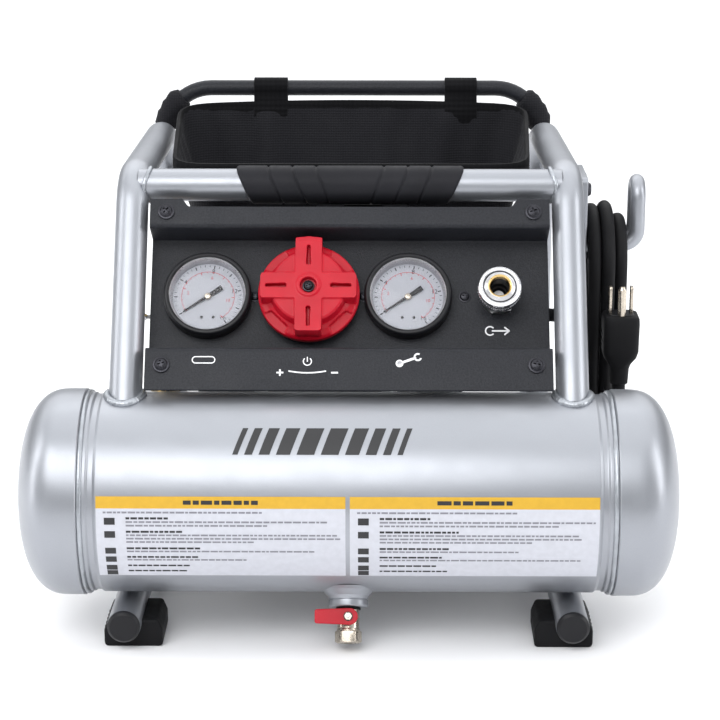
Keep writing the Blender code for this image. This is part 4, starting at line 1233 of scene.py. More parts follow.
def coupler():
    """A quick coupler: hexagon base, turned body with a brass lip, and its sliding sleeve."""
    seat = on_panel(COUPLER_X, ROW)
    bore = rounded(mm((3, 4), (4.3, 6), (4.6, 8.5), (5.4, 10.5), (5.6, 18)), 0.0004)
    bore = lathe("bore", bore, ZINC, seat, 64)
    lip = rounded(mm((5.6, 18), (5.6, 21), (6.6, 22.1), (7.1, 21.6)), 0.0004)
    lip = lathe("lip", lip, BRASS, seat, 64)
    body = turned(
        "coupler_barrel",
        [
            (6.6, 21.6), (7.1, 22), (8, 21.2), (9, 20.4), (9.2, 19), (9.2, 4.8), (8.4, 4.2), (8.4, -18),
            (4.3, -20),
        ],
        0.0004, STEEL, seat, 64,
    )
    # A flat black disc closes the foot of the bore: painted shade where the hole runs deep.
    painted_bore_shade = lathe("socket", mm((0, 4), (4.6, 4), (4.6, 7)), INK_BLACK, seat, 48)
    nut = hex_head("nut", 0.0194, 0.0004, 0.0044, STEEL, seat, start=math.radians(8))
    bevelled = lathe(
        "nut_bevel", mm((0, 5.8), (9, 5.8), (11.6, 3.4), (11.6, -1), (0, -1)), STEEL, seat, 48,
    )
    carved(nut, [bevelled], "INTERSECT")
    soften(nut, 0.0003, 2)
    fixed("outlet_coupler", [bore, lip, body, painted_bore_shade, nut], seat, "chrome", "coupler_body")

    profile = mm(
        (9.6, 20.4), (10.3, 21), (11.7, 21), (12.4, 20.3), (12.4, 17.6), (11.9, 17), (11.9, 16.4),
        (12.4, 15.8), (12.4, 11.2), (11.8, 10.4), (11.2, 8.2), (9.6, 8.2),
    )
    sleeve = lathe("sleeve_body", rounded(profile, 0.0004, closed=True), CHROME, seat, 120, closed=True)
    ridges = []
    for i in range(RIDGES):
        place = seat @ turn("Z", 360 / RIDGES * i) @ shift(0.01222, 0, 0.0135)
        ridges.append(block("ridge", (0.0007, 0.0007, 0.0036), CHROME, place, 0.0002))
    made = gathered("release_sleeve", [sleeve, *ridges], seat)
    put(made, "sleeve", "chrome", "coupler_sleeve")


# Drain


DRAIN_CENTRE = at(0, -DRAIN_PIVOT * math.sin(DRAIN_TILT), TANK_Z - DRAIN_PIVOT * math.cos(DRAIN_TILT))
DRAIN = shift(DRAIN_CENTRE) @ Matrix.Rotation(math.pi - DRAIN_TILT, 4, "X")


def drain():
    """Boss, seal and ball valve below the tank, and the lever that turns the ball."""
    boss = turned(
        "boss",
        [
            (4.5, -6), (10.6, -6), (11.2, -6.6), (11.2, -9.8), (10.7, -10.4), (11.8, -12.4), (15, -15.6),
            (17.2, -17.2),
        ],
        0.0008, SILVER, DRAIN, 96,
    )
    put(boss, "frame", "silver_paint", "drain_boss")
    seal = turned(
        "drain_seal", [(5, -4.4), (7, -4.4), (7, -6.1), (5, -6.1)], 0.0003, RUBBER, DRAIN, 48, True,
    )
    put(seal, "frame", "black_rubber")
    barrel = turned(
        "barrel", [(3, -5.6), (6, -5.6), (6.3, -5), (6.3, 6), (6.7, 7.4), (6, 8)], 0.0004, NICKEL_BRASS,
        DRAIN, 56,
    )
    hexagon = hex_head("hexagon", 0.0136, 0.0074, 0.0145, NICKEL_BRASS, DRAIN)
    trim = lathe(
        "trim", mm((0, 14.5), (6.2, 14.5), (7.6, 13.7), (7.6, 8), (6.6, 7.4), (0, 7.4)), NICKEL_BRASS,
        DRAIN, 48,
    )
    bore = prism("bore", circle(0.0028, 24), 0.0060, 0.0200, NICKEL_BRASS, DRAIN)
    carved(hexagon, [trim], "INTERSECT")
    carved(hexagon, [bore])
    soften(hexagon, 0.0002, 2)
    collar = turned(
        "collar", [(0, 8.4), (3.6, 8.4), (3.6, 6), (0, 6)], 0.0004, NICKEL_BRASS, DRAIN @ turn("X", -90),
        32,
    )
    fixed("drain_valve", [barrel, hexagon, collar], DRAIN, "brass", "drain_valve_body")

    face = DRAIN @ turn("X", -90)
    head = [
        (0.0008 + 0.0047 * math.cos(a), 0.0047 * math.sin(a))
        for a in (-math.pi / 2 + math.pi * k / 16 for k in range(17))
    ]
    outline = [*head, (-0.0182, 0.0040), (-0.01895, 0.0033), (-0.01895, -0.0033), (-0.0182, -0.0040)]
    lever = prism("lever", outline, 0.0093, 0.0115, LEVER_RED, face, 0.0006)
    nut = hex_head("lever_nut", 0.004, 0.011, 0.0128, NICKEL_BRASS, face, 0.0002)
    stud = turned(
        "lever_stud", [(0, 13.4), (1, 13.4), (1.1, 12.5), (1.1, 8), (0, 8)], 0.0002, STEEL, face, 24,
    )
    washer = turned(
        "lever_washer", [(0, 11.8), (2.6, 11.8), (2.7, 11.4), (0, 11.4)], 0.0002, INK_BLACK, face, 32,
    )
    made = gathered("drain_handle_lever", [lever, nut, stud, washer], DRAIN)
    put(made, "drain_handle", "red_plastic", "drain_lever")


# Cord, plug and hook

CORD_DIAMETER = 0.008
CORD_STEP = 0.004
HANK_MIDDLE = 0.114
SWITCH_BEHIND = 0.0865
CORD_HEIGHT = 0.2050
LEAD_ROUTE = [
    (0.0480, 0.0865, 0.2050),
    (0.0598, 0.0865, 0.2050),
    (0.0680, 0.0867, 0.2040),
    (0.0780, 0.0880, 0.1985),
    (0.0880, 0.0897, 0.1868),
    (0.0960, 0.0904, 0.1778),
    (0.1060, 0.0905, 0.1690),
    (0.1190, 0.0905, 0.1641),
    (0.1310, 0.0905, 0.1664),
    (0.1400, 0.0903, 0.1740),
    (0.1450, 0.0901, 0.1840),
]
# Each turn's column across the hook, half its width, its top and its bottom
HANK_TURNS = [
    (0.1460, 0.0240, 0.2180, 0.1020),
    (0.1541, 0.0240, 0.2186, 0.1008),
    (0.1622, 0.0240, 0.2180, 0.1022),
    (0.1541, 0.0321, 0.2254, 0.0978),
    (0.1460, 0.0321, 0.2238, 0.0980),
]
TAIL_ROUTE = [
    (0.1460, 0.1463, 0.1400),
    (0.1461, 0.1467, 0.1250),
    (0.1468, 0.1445, 0.1090),
    (0.1488, 0.1375, 0.0980),
    (0.1540, 0.1250, 0.0910),
    (0.1600, 0.1100, 0.0888),
    (0.1630, 0.0975, 0.0898),
    (0.1628, 0.0880, 0.0920),
    (0.1620, 0.0760, 0.0990),
    (0.1608, 0.0670, 0.1100),
    (0.1600, 0.0623, 0.1210),
    (0.1600, 0.0620, 0.1340),
]
# Points in each half turn, and half the length of the straight stretch between two
HALF_STEPS = 16
STRAIGHT = 0.012
PLUG_X = 0.1600
PLUG_BEHIND = 0.0620
PLUG_BASE = 0.1300


def eased(share, start=0.0, end=1.0):
    share = min(1.0, max(0.0, (share - start) / (end - start)))
    return share * share * (3 - 2 * share)


def hank_points():
    """The turns over the hook: up the front, over the top, down the rear and forward to the next one."""
    points = []
    for i, (x, half, top, low) in enumerate(HANK_TURNS):
        for k in range(HALF_STEPS + 1):
            a = math.pi * k / HALF_STEPS
            points.append(at(x, HANK_MIDDLE - half * math.cos(a), top - half + half * math.sin(a)))
        if i == len(HANK_TURNS) - 1:
            break
        next_x, next_half, _, next_low = HANK_TURNS[i + 1]
        middle = (top + low) / 2
        points.append(at(x, HANK_MIDDLE + half, middle + STRAIGHT))
        points.append(at(x, HANK_MIDDLE + half, middle - STRAIGHT))
        for k in range(HALF_STEPS + 1):
            a = math.pi * k / HALF_STEPS
            wide = half + (next_half - half) * eased(k / HALF_STEPS, 0, 0.5)
            bottom = low + (next_low - low) * eased(k / HALF_STEPS, 0, 0.5)
            across = x + (next_x - x) * eased(k / HALF_STEPS, 0.35, 1)
            points.append(at(across, HANK_MIDDLE + wide * math.cos(a), bottom + wide - wide * math.sin(a)))
        points.append(at(next_x, HANK_MIDDLE - next_half, middle - STRAIGHT))
        points.append(at(next_x, HANK_MIDDLE - next_half, middle + STRAIGHT))
    return points


def line_length(points):
    return sum((b - a).length for a, b in zip(points, points[1:]))


def plug_body():
    base = at(PLUG_X, PLUG_BEHIND, PLUG_BASE)
    # Height, half width across, half depth and corner radius up the moulding
    levels = [
        (0.0, 0.0046, 0.0046, 0.0045), (0.0006, 0.0053, 0.0053, 0.005), (0.0095, 0.0058, 0.0056, 0.0052),
        (0.0125, 0.0066, 0.0064, 0.005), (0.017, 0.0096, 0.0088, 0.005), (0.021, 0.0106, 0.0098, 0.0046),
        (0.038, 0.0108, 0.0102, 0.0044), (0.041, 0.0106, 0.01, 0.0042), (0.0424, 0.01, 0.0094, 0.004),
        (0.043, 0.0088, 0.0082, 0.0036),
    ]
    rings = []
    for height, wide, deep, corner in levels:
        outline = [(-wide, -deep), (wide, -deep), (wide, deep), (-wide, deep)]
        outline = rounded(outline, corner, 6, closed=True)
        rings.append([base + Vector((x, y, height)) for x, y in outline])
    body = lofted("plug_moulding", rings, RUBBER)
    grooves = []
    for height in (0.0235, 0.0275, 0.0315):
        for side in (-1, 1):
            groove = block(
                "groove", (0.0014, 0.012, 0.0014), RUBBER, shift(base) @ shift(side * 0.011, 0, height),
                0.0004,
            )
            grooves.append(groove)
    return carved(body, grooves)


def lofted(name, rings, finish, closed=True, sharp=38):
    """A skin over rings of equally many points, with a face at each end."""
    verts = [point for ring_points in rings for point in ring_points]
    faces = (capped if closed else quads)(len(rings), len(rings[0]))
    return solid(name, verts, faces, finish, None, sharp)


def plug():
    """A moulded plug with two flat blades and a round earth pin, hanging pins up."""
    face = shift(at(PLUG_X, PLUG_BEHIND, PLUG_BASE))
    insert = block("insert", (0.0150, 0.0140, 0.0008), PLASTIC, face @ shift(0, 0, 0.0431), 0.0003, 0.003)
    parts = [plug_body(), insert]
    tip = rounded(mm((-3.1, 40), (3.1, 40), (3.1, 59), (-3.1, 59)), [0, 0, 0.0018, 0.0018], 4, closed=True)
    for side in (-1, 1):
        # The blade's outline stands upright, so its thickness runs across the plug.
        upright = face @ shift(side * 0.0062, 0.0020, 0) @ turn("Z", 90) @ turn("X", 90)
        blade = prism("blade", tip, -0.0008, 0.0008, NICKEL_BRASS, upright, 0.0002)
        hole = lathe(
            "hole", mm((0, -2), (1.2, -2), (1.2, 2), (0, 2)), NICKEL_BRASS, upright @ shift(0, 0.0545, 0),
            20,
        )
        parts.append(carved(blade, [hole]))
    profile = rounded(mm((0, 60.5), (1.4, 60.5), (2.4, 58.5), (2.4, 40), (0, 40)), 0.0006)
    parts.append(lathe("pin", profile, NICKEL_BRASS, face @ shift(0, -0.0055, 0), 32))
    return fixed("mains_plug", parts, face, "black_rubber", "plug")


def relief_boot():
    """The tapered, ribbed boot where the lead leaves the switch box."""
    profile = mm((0, 24), (4.4, 24), (5, 23.6))
    for k in range(5):
        height = 0.0215 - 0.0036 * k
        outer = 0.0053 + 0.00042 * k
        profile += [
            (outer, height), (outer, height - 0.002), (outer - 0.0008, height - 0.0022),
            (outer - 0.0008, height - 0.0034),
        ]
    profile += mm((7.4, 3.6), (8.5, 3.4), (8.5, 0), (0, 0))
    start = shift(at(0.0358, SWITCH_BEHIND, CORD_HEIGHT)) @ ALONG_X
    made = lathe("relief_boot", rounded(profile, 0.0003, 3), RUBBER, start, 40)
    return put(made, "frame", "black_rubber", "strain_relief")


TIE_X, TIE_BEHIND = 0.1541, 0.1421


def hank_tie():
    """A strap round the turns' rear strands."""
    outline = rounded(mm((141.2, 133), (167, 133), (167, 151.2), (141.2, 151.2)), 0.0052, 6, closed=True)
    bands = []
    middle = Vector((TIE_X, TIE_BEHIND))
    for height, grow in ((0.1450, 0.0), (0.1454, 0.0007), (0.1586, 0.0007), (0.1590, 0.0)):
        band = []
        for x, distance in outline:
            away = (Vector((x, distance)) - middle).normalized() * grow
            band.append(at(x + away.x, distance + away.y, height))
        bands.append(band)
    inner = [
        [point + (at(TIE_X, TIE_BEHIND, point.z) - point).normalized() * 0.0007 for point in band]
        for band in (bands[3], bands[0])
    ]
    made = lofted("hank_tie", [*bands, *inner, bands[0]], WEBBING, closed=False)
    return put(made, "frame", "black_fabric")


def power_cord():
    lead = curve_through([at(*p) for p in LEAD_ROUTE], CORD_STEP)
    tail = curve_through([at(*p) for p in TAIL_ROUTE], CORD_STEP)
    points = [*lead, *curve_through(hank_points(), 0.005), *tail]
    points = curve_through(evened(points, 0.005), CORD_STEP)
    made = swept("power_cord", points, CORD_DIAMETER / 2, RUBBER, 20, sharp=60)
    put(made, "frame", "black_rubber", "cord_lead", "cord_hank", "cord_tail")
    pieces = [plug(), relief_boot(), hank_tie()]


def evened(points, spacing):
    """The line's points moved to equal distances along it."""
    total = line_length(points)
    count = round(total / spacing)
    step = total / count
    made, travelled, wanted = [points[0]], 0.0, step
    for a, b in zip(points, points[1:]):
        span = (b - a).length
        while span and wanted <= travelled + span + 0.0000001 and len(made) < count:
            made.append(a.lerp(b, (wanted - travelled) / span))
            wanted += step
        travelled += span
    return [*made, points[-1]]


def hook():
    """The bent rod that carries the hank, on its plate against the side tube."""
    rods, low, high, root, reach = (0.105, 0.123), 0.205, 0.2415, 0.1400, 0.1730
    middle = shift(at(0.1395, HANK_MIDDLE, 0.223))
    corners = [
        at(root, rods[0], low), at(reach, rods[0], low), at(reach, rods[0], high), at(reach, rods[1], high),
        at(reach, rods[1], low), at(root, rods[1], low),
    ]
    rod = swept("hook_rod", bent(corners, 0.0089, 8), 0.0045, SILVER, 24)
    plate = block(
        "hook_plate", (0.046, 0.05, 0.004), SILVER, middle @ turn("Z", 90) @ turn("X", 90), 0.0006, 0.004,
    )
    parts = [rod, plate]
    for distance, foot in zip((0.0985, 0.1295), rods):
        head = turned(
            "hook_screw", [(0, 2.4), (3.2, 2.4), (4.2, 1), (4.2, 0), (0, 0)], 0.0005, ZINC,
            shift(at(0.1414, distance, 0.24)) @ ALONG_X, 32,
        )
        parts.append(head)
        weld = ring("hook_weld", 0.0047, 0.0011, WELD, shift(at(0.1417, foot, low)) @ ALONG_X, 40, 10)
        parts.append(weld)
    fixed("hook", parts, middle, "silver_paint", "cord_hook")


# Tool bag and its rail

RAIL_BEHIND = 0.238
RAIL_HEIGHT = 0.278
RAIL_X = 0.1225
RAIL_BEND = 0.030
RAIL_RADIUS = 0.005
BAG_FLOOR = 0.190
BAG_FRONT_RIM = 0.2535
BAG_REAR_RIM = 0.2675
HEM = 0.0105
LOOPS = ((-0.0535, 0.0215), (0.0702, 0.0205))


BAG_POINTS = 96
CLOTH_STEPS, CLOTH_GROWTH, CLOTH_REACH = 20, 0.045, 0.008
STITCH_LENGTH, STITCH_GAP = 0.0026, 0.0014


def bag_outline(level, inset=0.0):
    """The bag's outline at a level from 0, the floor, to 1, the rim."""
    half_front = 0.088 + 0.018 * level - inset
    half_rear = 0.092 + 0.0205 * level - inset
    front = 0.114 - 0.0095 * level + inset
    rear = 0.215 + 0.0165 * level - inset
    corners = [(half_front, front), (half_rear, rear), (-half_rear, rear), (-half_front, front)]
    outline = rounded(corners, max(0.004, 0.019 - inset * 0.3), 6, closed=True)
    loop = [Vector((*p, 0)) for p in [*outline, outline[0]]]
    flat = evened(loop, line_length(loop) / BAG_POINTS)
    points = []
    for spot in flat[:BAG_POINTS]:
        share = min(1.0, max(0.0, (spot.y - front) / (rear - front)))
        crown = 0.0030 * max(0.0, share - 0.9) * 10 * (1 - (spot.x / half_rear) ** 2)
        rim = BAG_FRONT_RIM + (BAG_REAR_RIM - BAG_FRONT_RIM) * share + crown
        points.append(at(spot.x, spot.y, BAG_FLOOR + (rim - BAG_FLOOR) * level))
    return points


def as_cloth(obj, held):
    """The object's mesh as gravity leaves its cloth, hung from the held points."""
    before = [v.co.copy() for v in obj.data.vertices]
    obj.vertex_groups.new(name="held").add(held, 1.0, "REPLACE")
    cloth = obj.modifiers.new("cloth", "CLOTH")
    cloth.point_cache.frame_start, cloth.point_cache.frame_end = 1, CLOTH_STEPS
    cloth.settings.vertex_group_mass = "held"
    cloth.settings.quality = 6
    cloth.settings.mass = 0.35
    cloth.settings.tension_stiffness = cloth.settings.compression_stiffness = 18
    cloth.settings.bending_stiffness = 0.6
    cloth.settings.shrink_min = -CLOTH_GROWTH
    for number in range(1, CLOTH_STEPS + 1):
        bpy.context.scene.frame_set(number)
    mesh = settled(obj)
    obj.modifiers.clear()
    obj.data = mesh
    for v, start in zip(mesh.vertices, before):
        moved = v.co - start
        if moved.length > CLOTH_REACH:
            v.co = start + moved * CLOTH_REACH / moved.length
    bpy.context.scene.frame_set(1)
    return obj


def tape(name, line, height, thickness, finish):
    """A band of cloth folded over a closed line, hanging down by height on each side of it."""
    count = len(line)
    rings = []
    for i, point in enumerate(line):
        along = (line[(i + 1) % count] - line[i - 1]).normalized()
        side = along.cross(Vector((0, 0, 1))).normalized()
        t = thickness / 2
        section = [
            (t, -height), (t, -0.0008), (t * 0.6, 0.0006), (-t * 0.6, 0.0006), (-t, -0.0008), (-t, -height),
        ]
        rings.append([point + side * a + Vector((0, 0, b)) for a, b in section])
    verts = [p for section in rings for p in section]
    return solid(name, verts, quads(count, 6, True), finish)


def stitches(line):
    """A row of short threads along a closed line."""
    line = evened([*line, line[0]], STITCH_LENGTH + STITCH_GAP)
    verts, faces = [], []
    for a, b in zip(line, line[1:]):
        along = (b - a).normalized()
        side = along.cross(Vector((0, 0, 1))).normalized() * 0.00028
        up = side.cross(along)
        start, end = len(verts), a + along * STITCH_LENGTH
        for point, small in ((a, 0.5), (a.lerp(end, 0.25), 1), (a.lerp(end, 0.75), 1), (end, 0.5)):
            verts += [point + side * small, point + up * small, point - side * small, point - up * small]
        faces.append([start, start + 1, start + 2, start + 3])
        for k in range(3):
            for i in range(4):
                j = (i + 1) % 4
                faces.append(
                    [start + 4 * k + i, start + 4 * k + j, start + 4 * k + 4 + j, start + 4 * k + 4 + i]
                )
        faces.append([start + 15, start + 14, start + 13, start + 12])
    return solid("threads", verts, faces, INK_GREY)


def bag():
    """A cloth bag that hangs open from its rim, with a hem and three rows of stitches."""
    levels = [1, 0.94, 0.87, 0.79, 0.71, 0.62, 0.53, 0.44, 0.35, 0.26, 0.17, 0.09, 0.03]
    rings = [bag_outline(level) for level in levels]
    rings += [bag_outline(0, inset) for inset in (0.001, 0.008, 0.017, 0.026, 0.035, 0.044)]
    count = len(rings[0])
    verts = [p for points in rings for p in points]
    faces = []
    for i in range(len(rings) - 1):
        for k in range(count):
            n = (k + 1) % count
            faces.append((i * count + k, (i + 1) * count + k, (i + 1) * count + n, i * count + n))
    faces.append([(len(rings) - 1) * count + k for k in range(count)])
    cloth = solid("bag_cloth", verts, faces, FABRIC, None, 180)
    as_cloth(cloth, list(range(2 * count)))
    skin = cloth.modifiers.new("skin", "SOLIDIFY")
    skin.thickness = 0.0011
    skin.offset = 0
    finer = cloth.modifiers.new("finer", "SUBSURF")
    finer.levels = finer.render_levels = 1
    cloth.data = settled(cloth)
    cloth.modifiers.clear()
    cloth.data.shade_smooth()
    put(cloth, "frame", "black_fabric", "tool_bag")

    rim = rings[0]
    put(tape("bag_hem", rim, HEM, 0.0030, WEBBING), "frame", "black_fabric")
    inside = [point + Vector((0, 0, 0.0015 - HEM)) for point in rim]
    threads = []
    for out in (-0.00155, 0.00155):
        line = []
        for i, point in enumerate(inside):
            along = (inside[(i + 1) % count] - inside[i - 1]).normalized()
            line.append(point + along.cross(Vector((0, 0, 1))).normalized() * out)
        threads.append(stitches(line))
    threads.append(stitches([p + Vector((0, -0.0008, -0.0185)) for p in rim]))
    fixed("bag_stitches", threads, None, "black_fabric")


def rail_points(steps=12):
    low = TOP_RUN_HEIGHT - 0.012
    corners = [
        at(-RAIL_X, RAIL_BEHIND, low), at(-RAIL_X, RAIL_BEHIND, RAIL_HEIGHT),
        at(RAIL_X, RAIL_BEHIND, RAIL_HEIGHT), at(RAIL_X, RAIL_BEHIND, low),
    ]
    return bent(corners, RAIL_BEND, steps)


def bag_rail():
    """The rail, and a cloth cuff over each of its corners."""
    rod = swept("rail", rail_points(), RAIL_RADIUS, PANEL_BLACK, 28)
    put(rod, "frame", "black_plastic", "bag_frame")
    arcs = rail_points(24)
    for word, points in (("left", arcs[1:26]), ("right", arcs[26:51])):
        inner = points[2:15] if word == "left" else points[10:23]

        def swell(share, around):
            edge = min(1.0, 9 * min(share, 1 - share))
            fold = math.sin(share * 26 + 0.8 * math.cos(around)) + 0.5 * math.sin(3 * around + share * 9)
            return 0.0064 + 0.0018 * edge + 0.00040 * fold * edge

        made = swept(f"corner_sleeve_{word}", inner, swell, FABRIC, 28, sharp=50)
        put(made, "frame", "black_fabric")


def webbing_loops():
    """Straps that carry the bag's back on the rail."""
    for i, (x, width) in enumerate(LOOPS):
        clear = RAIL_RADIUS + 0.0012
        route = [(0.2297, 0.2560), (0.2299, 0.2640)]
        for k in range(11):
            a = math.radians(205 - 230 * k / 10)
            route.append((RAIL_BEHIND + clear * math.cos(a), RAIL_HEIGHT + clear * math.sin(a)))
        route += [(0.2365, 0.2665), (0.2345, 0.2560)]
        line = evened(curve_through([Vector((0, *p)) for p in route], 0.0012), 0.0010)
        rings = []
        for j, point in enumerate(line):
            along = (line[min(j + 1, len(line) - 1)] - line[max(j - 1, 0)]).normalized()
            out = Vector((0, -along.z, along.y))
            rib = 0.00012 * math.sin(j * 1.6)
            half = width / 2
            section = [
                (-half, -0.0006), (half, -0.0006), (half + 0.0002, 0), (half, 0.0006 + rib),
                (-half, 0.0006 + rib), (-half - 0.0002, 0),
            ]
            rings.append([at(x + a, *(point + out * b)[1:]) for a, b in section])
        made = lofted(f"webbing_loop_{i}", rings, WEBBING, sharp=50)
        put(made, "frame", "black_fabric")


# Switch box


def switch_box():
    """The pressure switch: a moulded cover with a seam, two screws and a hollow for the rocker."""
    middle = at(0.0075, SWITCH_BEHIND, 0.2085)
    face = shift(middle)
    cover = block(
        "switch_cover", (0.056, 0.019, 0.0455), PLASTIC, face @ shift(0, 0, 0.0002), 0.0018, 0.003,
    )
    low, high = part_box("power_rocker")
    size = high - low
    hollow = block(
        "hollow", (size.x + 0.001, size.y + 0.001, 0.014), PLASTIC,
        shift((low.x + high.x) / 2, (low.y + high.y) / 2, middle.z + 0.023), 0.0004,
    )
    carved(cover, [hollow])
    seam = block("seam", (0.0564, 0.0194, 0.001), RUBBER, face @ shift(0, 0, -0.009), 0.0003, 0.0032)
    parts = [cover, seam]
    for x in (-0.0235, 0.0235):
        parts.append(
            turned(
                "cover_screw", [(0, 1.4), (2.6, 1.4), (3, 0.6), (3, 0), (0, 0)], 0.0004, ZINC,
                face @ shift(x, 0, 0.0222), 24,
            )
        )
    fixed("switch_box", parts, face, "black_plastic", "pressure_switch")


# Motor and pump

MOTOR_BEHIND = 0.152
MOTOR_HEIGHT = 0.088
CRANK_X = 0.0525
DECK_BOTTOM = 0.0253
DECK_TOP = 0.0278
CYLINDER_FINS, FIN_START, FIN_PITCH = 7, 0.1292, 0.0042
HEAD_HEIGHT, HEAD_BOLT = 0.1651, 0.0228
COVER_BOLTS, COVER_BOLT_RADIUS = 6, 0.0285
FILTER_RIBS, RIB_PITCH = 5, 0.0030
GRILLE = -0.0940
MOTOR_AXIS = shift(at(0, MOTOR_BEHIND, MOTOR_HEIGHT)) @ ALONG_X


def cog_outline(outer, inner, teeth):
    points = []
    corners = ((inner, 0), (inner, 0.43), (outer, 0.55), (outer, 0.97))
    for i in range(teeth):
        a = 2 * math.pi * i / teeth
        step = 2 * math.pi / teeth
        for r, t in corners:
            points.append((r * math.cos(a + t * step), r * math.sin(a + t * step)))
    return points


def motor_case():
    ribs = prism("ribs", cog_outline(0.0420, 0.0398, 36), -0.0520, 0.0190, PLASTIC, MOTOR_AXIS, 0.0003)
    bore = lathe("bore", mm((0, -56), (39, -56), (39, 22), (0, 22)), PLASTIC, MOTOR_AXIS, 72)
    carved(ribs, [bore])
    parts = [ribs]
    for near, far in ((-0.0520, -0.0620), (0.0190, 0.0280)):
        sign = 1 if far > near else -1
        profile = [
            (0.039, near), (0.042, near), (0.042, far - sign * 0.0035), (0.0385, far), (0.015, far),
            (0.014, far - sign * 0.001), (0.0044, far - sign * 0.001), (0.0044, far - sign * 0.003),
            (0.039, far - sign * 0.0045),
        ]
        parts.append(
            lathe("bell", rounded(profile, 0.0006, 3, closed=True), ALUMINIUM, MOTOR_AXIS, 72, True)
        )
        for k in range(4):
            place = MOTOR_AXIS @ turn("Z", 45 + 90 * k) @ shift(0.0330, 0, far - sign * 0.0002)
            parts.append(hex_head("bell_bolt", 0.005, -0.0004, 0.0004, ZINC, place))
    fixed("motor_case", parts, MOTOR_AXIS, "black_plastic", "motor_housing")


def shroud():
    profile = mm((43, -60), (46, -60), (46, -92.5), (44, -95), (40, -95), (40, -93), (43.2, -92))
    parts = [lathe("shroud_wall", rounded(profile, 0.0006, 3, closed=True), PLASTIC, MOTOR_AXIS, 84, True)]
    for r in (0.0100, 0.0160, 0.0220, 0.0280, 0.0340):
        parts.append(ring("grille_ring", r, 0.0009, PLASTIC, MOTOR_AXIS @ shift(0, 0, GRILLE), 72, 8))
    for k in range(8):
        spoke = block(
            "spoke", (0.032, 0.0022, 0.0016), PLASTIC,
            MOTOR_AXIS @ turn("Z", 45 * k) @ shift(0.025, 0, GRILLE), 0.0004,
        )
        parts.append(spoke)
    parts.append(
        turned(
            "grille_hub", [(0, -95), (10, -95), (10.8, -94), (10, -93), (0, -93)], 0.0004, PLASTIC,
            MOTOR_AXIS, 48,
        )
    )
    fixed("shroud", parts, MOTOR_AXIS, "black_plastic", "fan_shroud")


def pump():
    """A finned cylinder on the crankcase, its head, and the filter on the head's side."""
    upright = shift(at(CRANK_X, MOTOR_BEHIND, 0))
    profile = mm((20, 124.8), (26.2, 124.8), (26.2, 127.2), (23.2, 127.6))
    for k in range(CYLINDER_FINS):
        low = FIN_START + FIN_PITCH * k
        profile += [(0.0232, low), (0.0288, low + 0.0003), (0.0290, low + 0.0012), (0.0232, low + 0.0016)]
    profile += mm((23.2, 158.2), (27, 158.4), (27, 160), (20, 160))
    made = lathe("finned_cylinder", profile, ALUMINIUM, upright, 72, True, 30)
    put(made, "frame", "cast_aluminium", "cylinder")

    head = upright @ shift(0, 0, HEAD_HEIGHT)
    parts = [block("head_body", (0.056, 0.056, 0.0095), ALUMINIUM, head, 0.001, 0.006)]
    for k in range(7):
        fin = block(
            "head_fin", (0.0018, 0.04, 0.0044), ALUMINIUM, upright @ shift(-0.0168 + 0.0056 * k, 0, 0.1709),
            0.0005,
        )
        parts.append(fin)
    for x in (-HEAD_BOLT, HEAD_BOLT):
        for y in (-HEAD_BOLT, HEAD_BOLT):
            parts.append(
                hex_head(
                    "head_bolt", 0.007, 0.1696, 0.173, ZINC, upright @ shift(x, y, 0), 0.0004, start=0.3,
                )
            )
    fixed("head_casting", parts, head, "cast_aluminium", "cylinder_head")

    cover = shift(at(CRANK_X, MOTOR_BEHIND, MOTOR_HEIGHT)) @ ALONG_X
    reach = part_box("crankcase")[1].x - CRANK_X
    profile = [
        (0, reach - 0.001), (0.033, reach - 0.001), (0.034, reach), (0.015, reach + 0.0012),
        (0, reach + 0.0012),
    ]
    parts = [lathe("case_cover", rounded(profile, 0.0006), ALUMINIUM, cover, 60)]
    for k in range(COVER_BOLTS):
        parts.append(
            hex_head(
                "cover_bolt", 0.0056, reach, reach + 0.0026, ZINC,
                cover @ turn("Z", 360 / COVER_BOLTS * k) @ shift(COVER_BOLT_RADIUS, 0, 0), 0.0003,
            )
        )
    fixed("case_cover_set", parts, cover, "cast_aluminium")

    filter_axis = shift(at(CRANK_X, 0.1803, 0.1668)) @ ALONG_Y
    profile = mm((0, 0), (6, 0), (6, 3), (10.5, 4), (11.5, 5.2))
    for k in range(FILTER_RIBS):
        low = 0.0070 + RIB_PITCH * k
        profile += [(0.0115, low), (0.0104, low + 0.0003), (0.0104, low + 0.0014), (0.0115, low + 0.0017)]
    profile += mm((11.5, 22.5), (10, 24), (0, 24))
    made = lathe("filter", rounded(profile, 0.0003, 3), PLASTIC, filter_axis, 56)
    put(made, "frame", "black_plastic", "intake_filter")


def deck():
    middle = at(0, 0.139, (DECK_BOTTOM + DECK_TOP) / 2)
    plate = block(
        "deck_plate", (0.252, 0.134, DECK_TOP - DECK_BOTTOM), PANEL_BLACK, shift(middle), 0.0005, 0.006,
    )
    parts = [plate]
    for x in (-0.116, 0.116):
        for distance in (0.084, 0.194):
            place = shift(at(x, distance, DECK_TOP))
            parts.append(
                turned("deck_washer", [(0, 0.8), (5.2, 0.8), (5.5, 0), (0, 0)], 0.0002, STEEL, place, 32)
            )
            parts.append(hex_head("deck_bolt", 0.008, 0.0006, 0.0046, ZINC, place, 0.0005, start=0.2))
    fixed("deck", parts, shift(middle), "panel_black", "base_plate")


PIPE_DEPTH = -0.045
CHECK_X, CHECK_LEAN = -0.108, 40
LINE_BEHIND, LINE_HEIGHT, LINE_END = 0.1, 0.167, 0.1237


def fitting(word, profile, across_flats, high, matrix, node):
    """A turned brass body with six flats."""
    body = turned(word + "_body", profile, 0.0004, BRASS, matrix, 40, steps=3)
    flats = hex_head(word + "_flats", across_flats, 0.0046, high, BRASS, matrix, 0.0005)
    fixed(word + "_set", [body, flats], matrix, "brass", node)


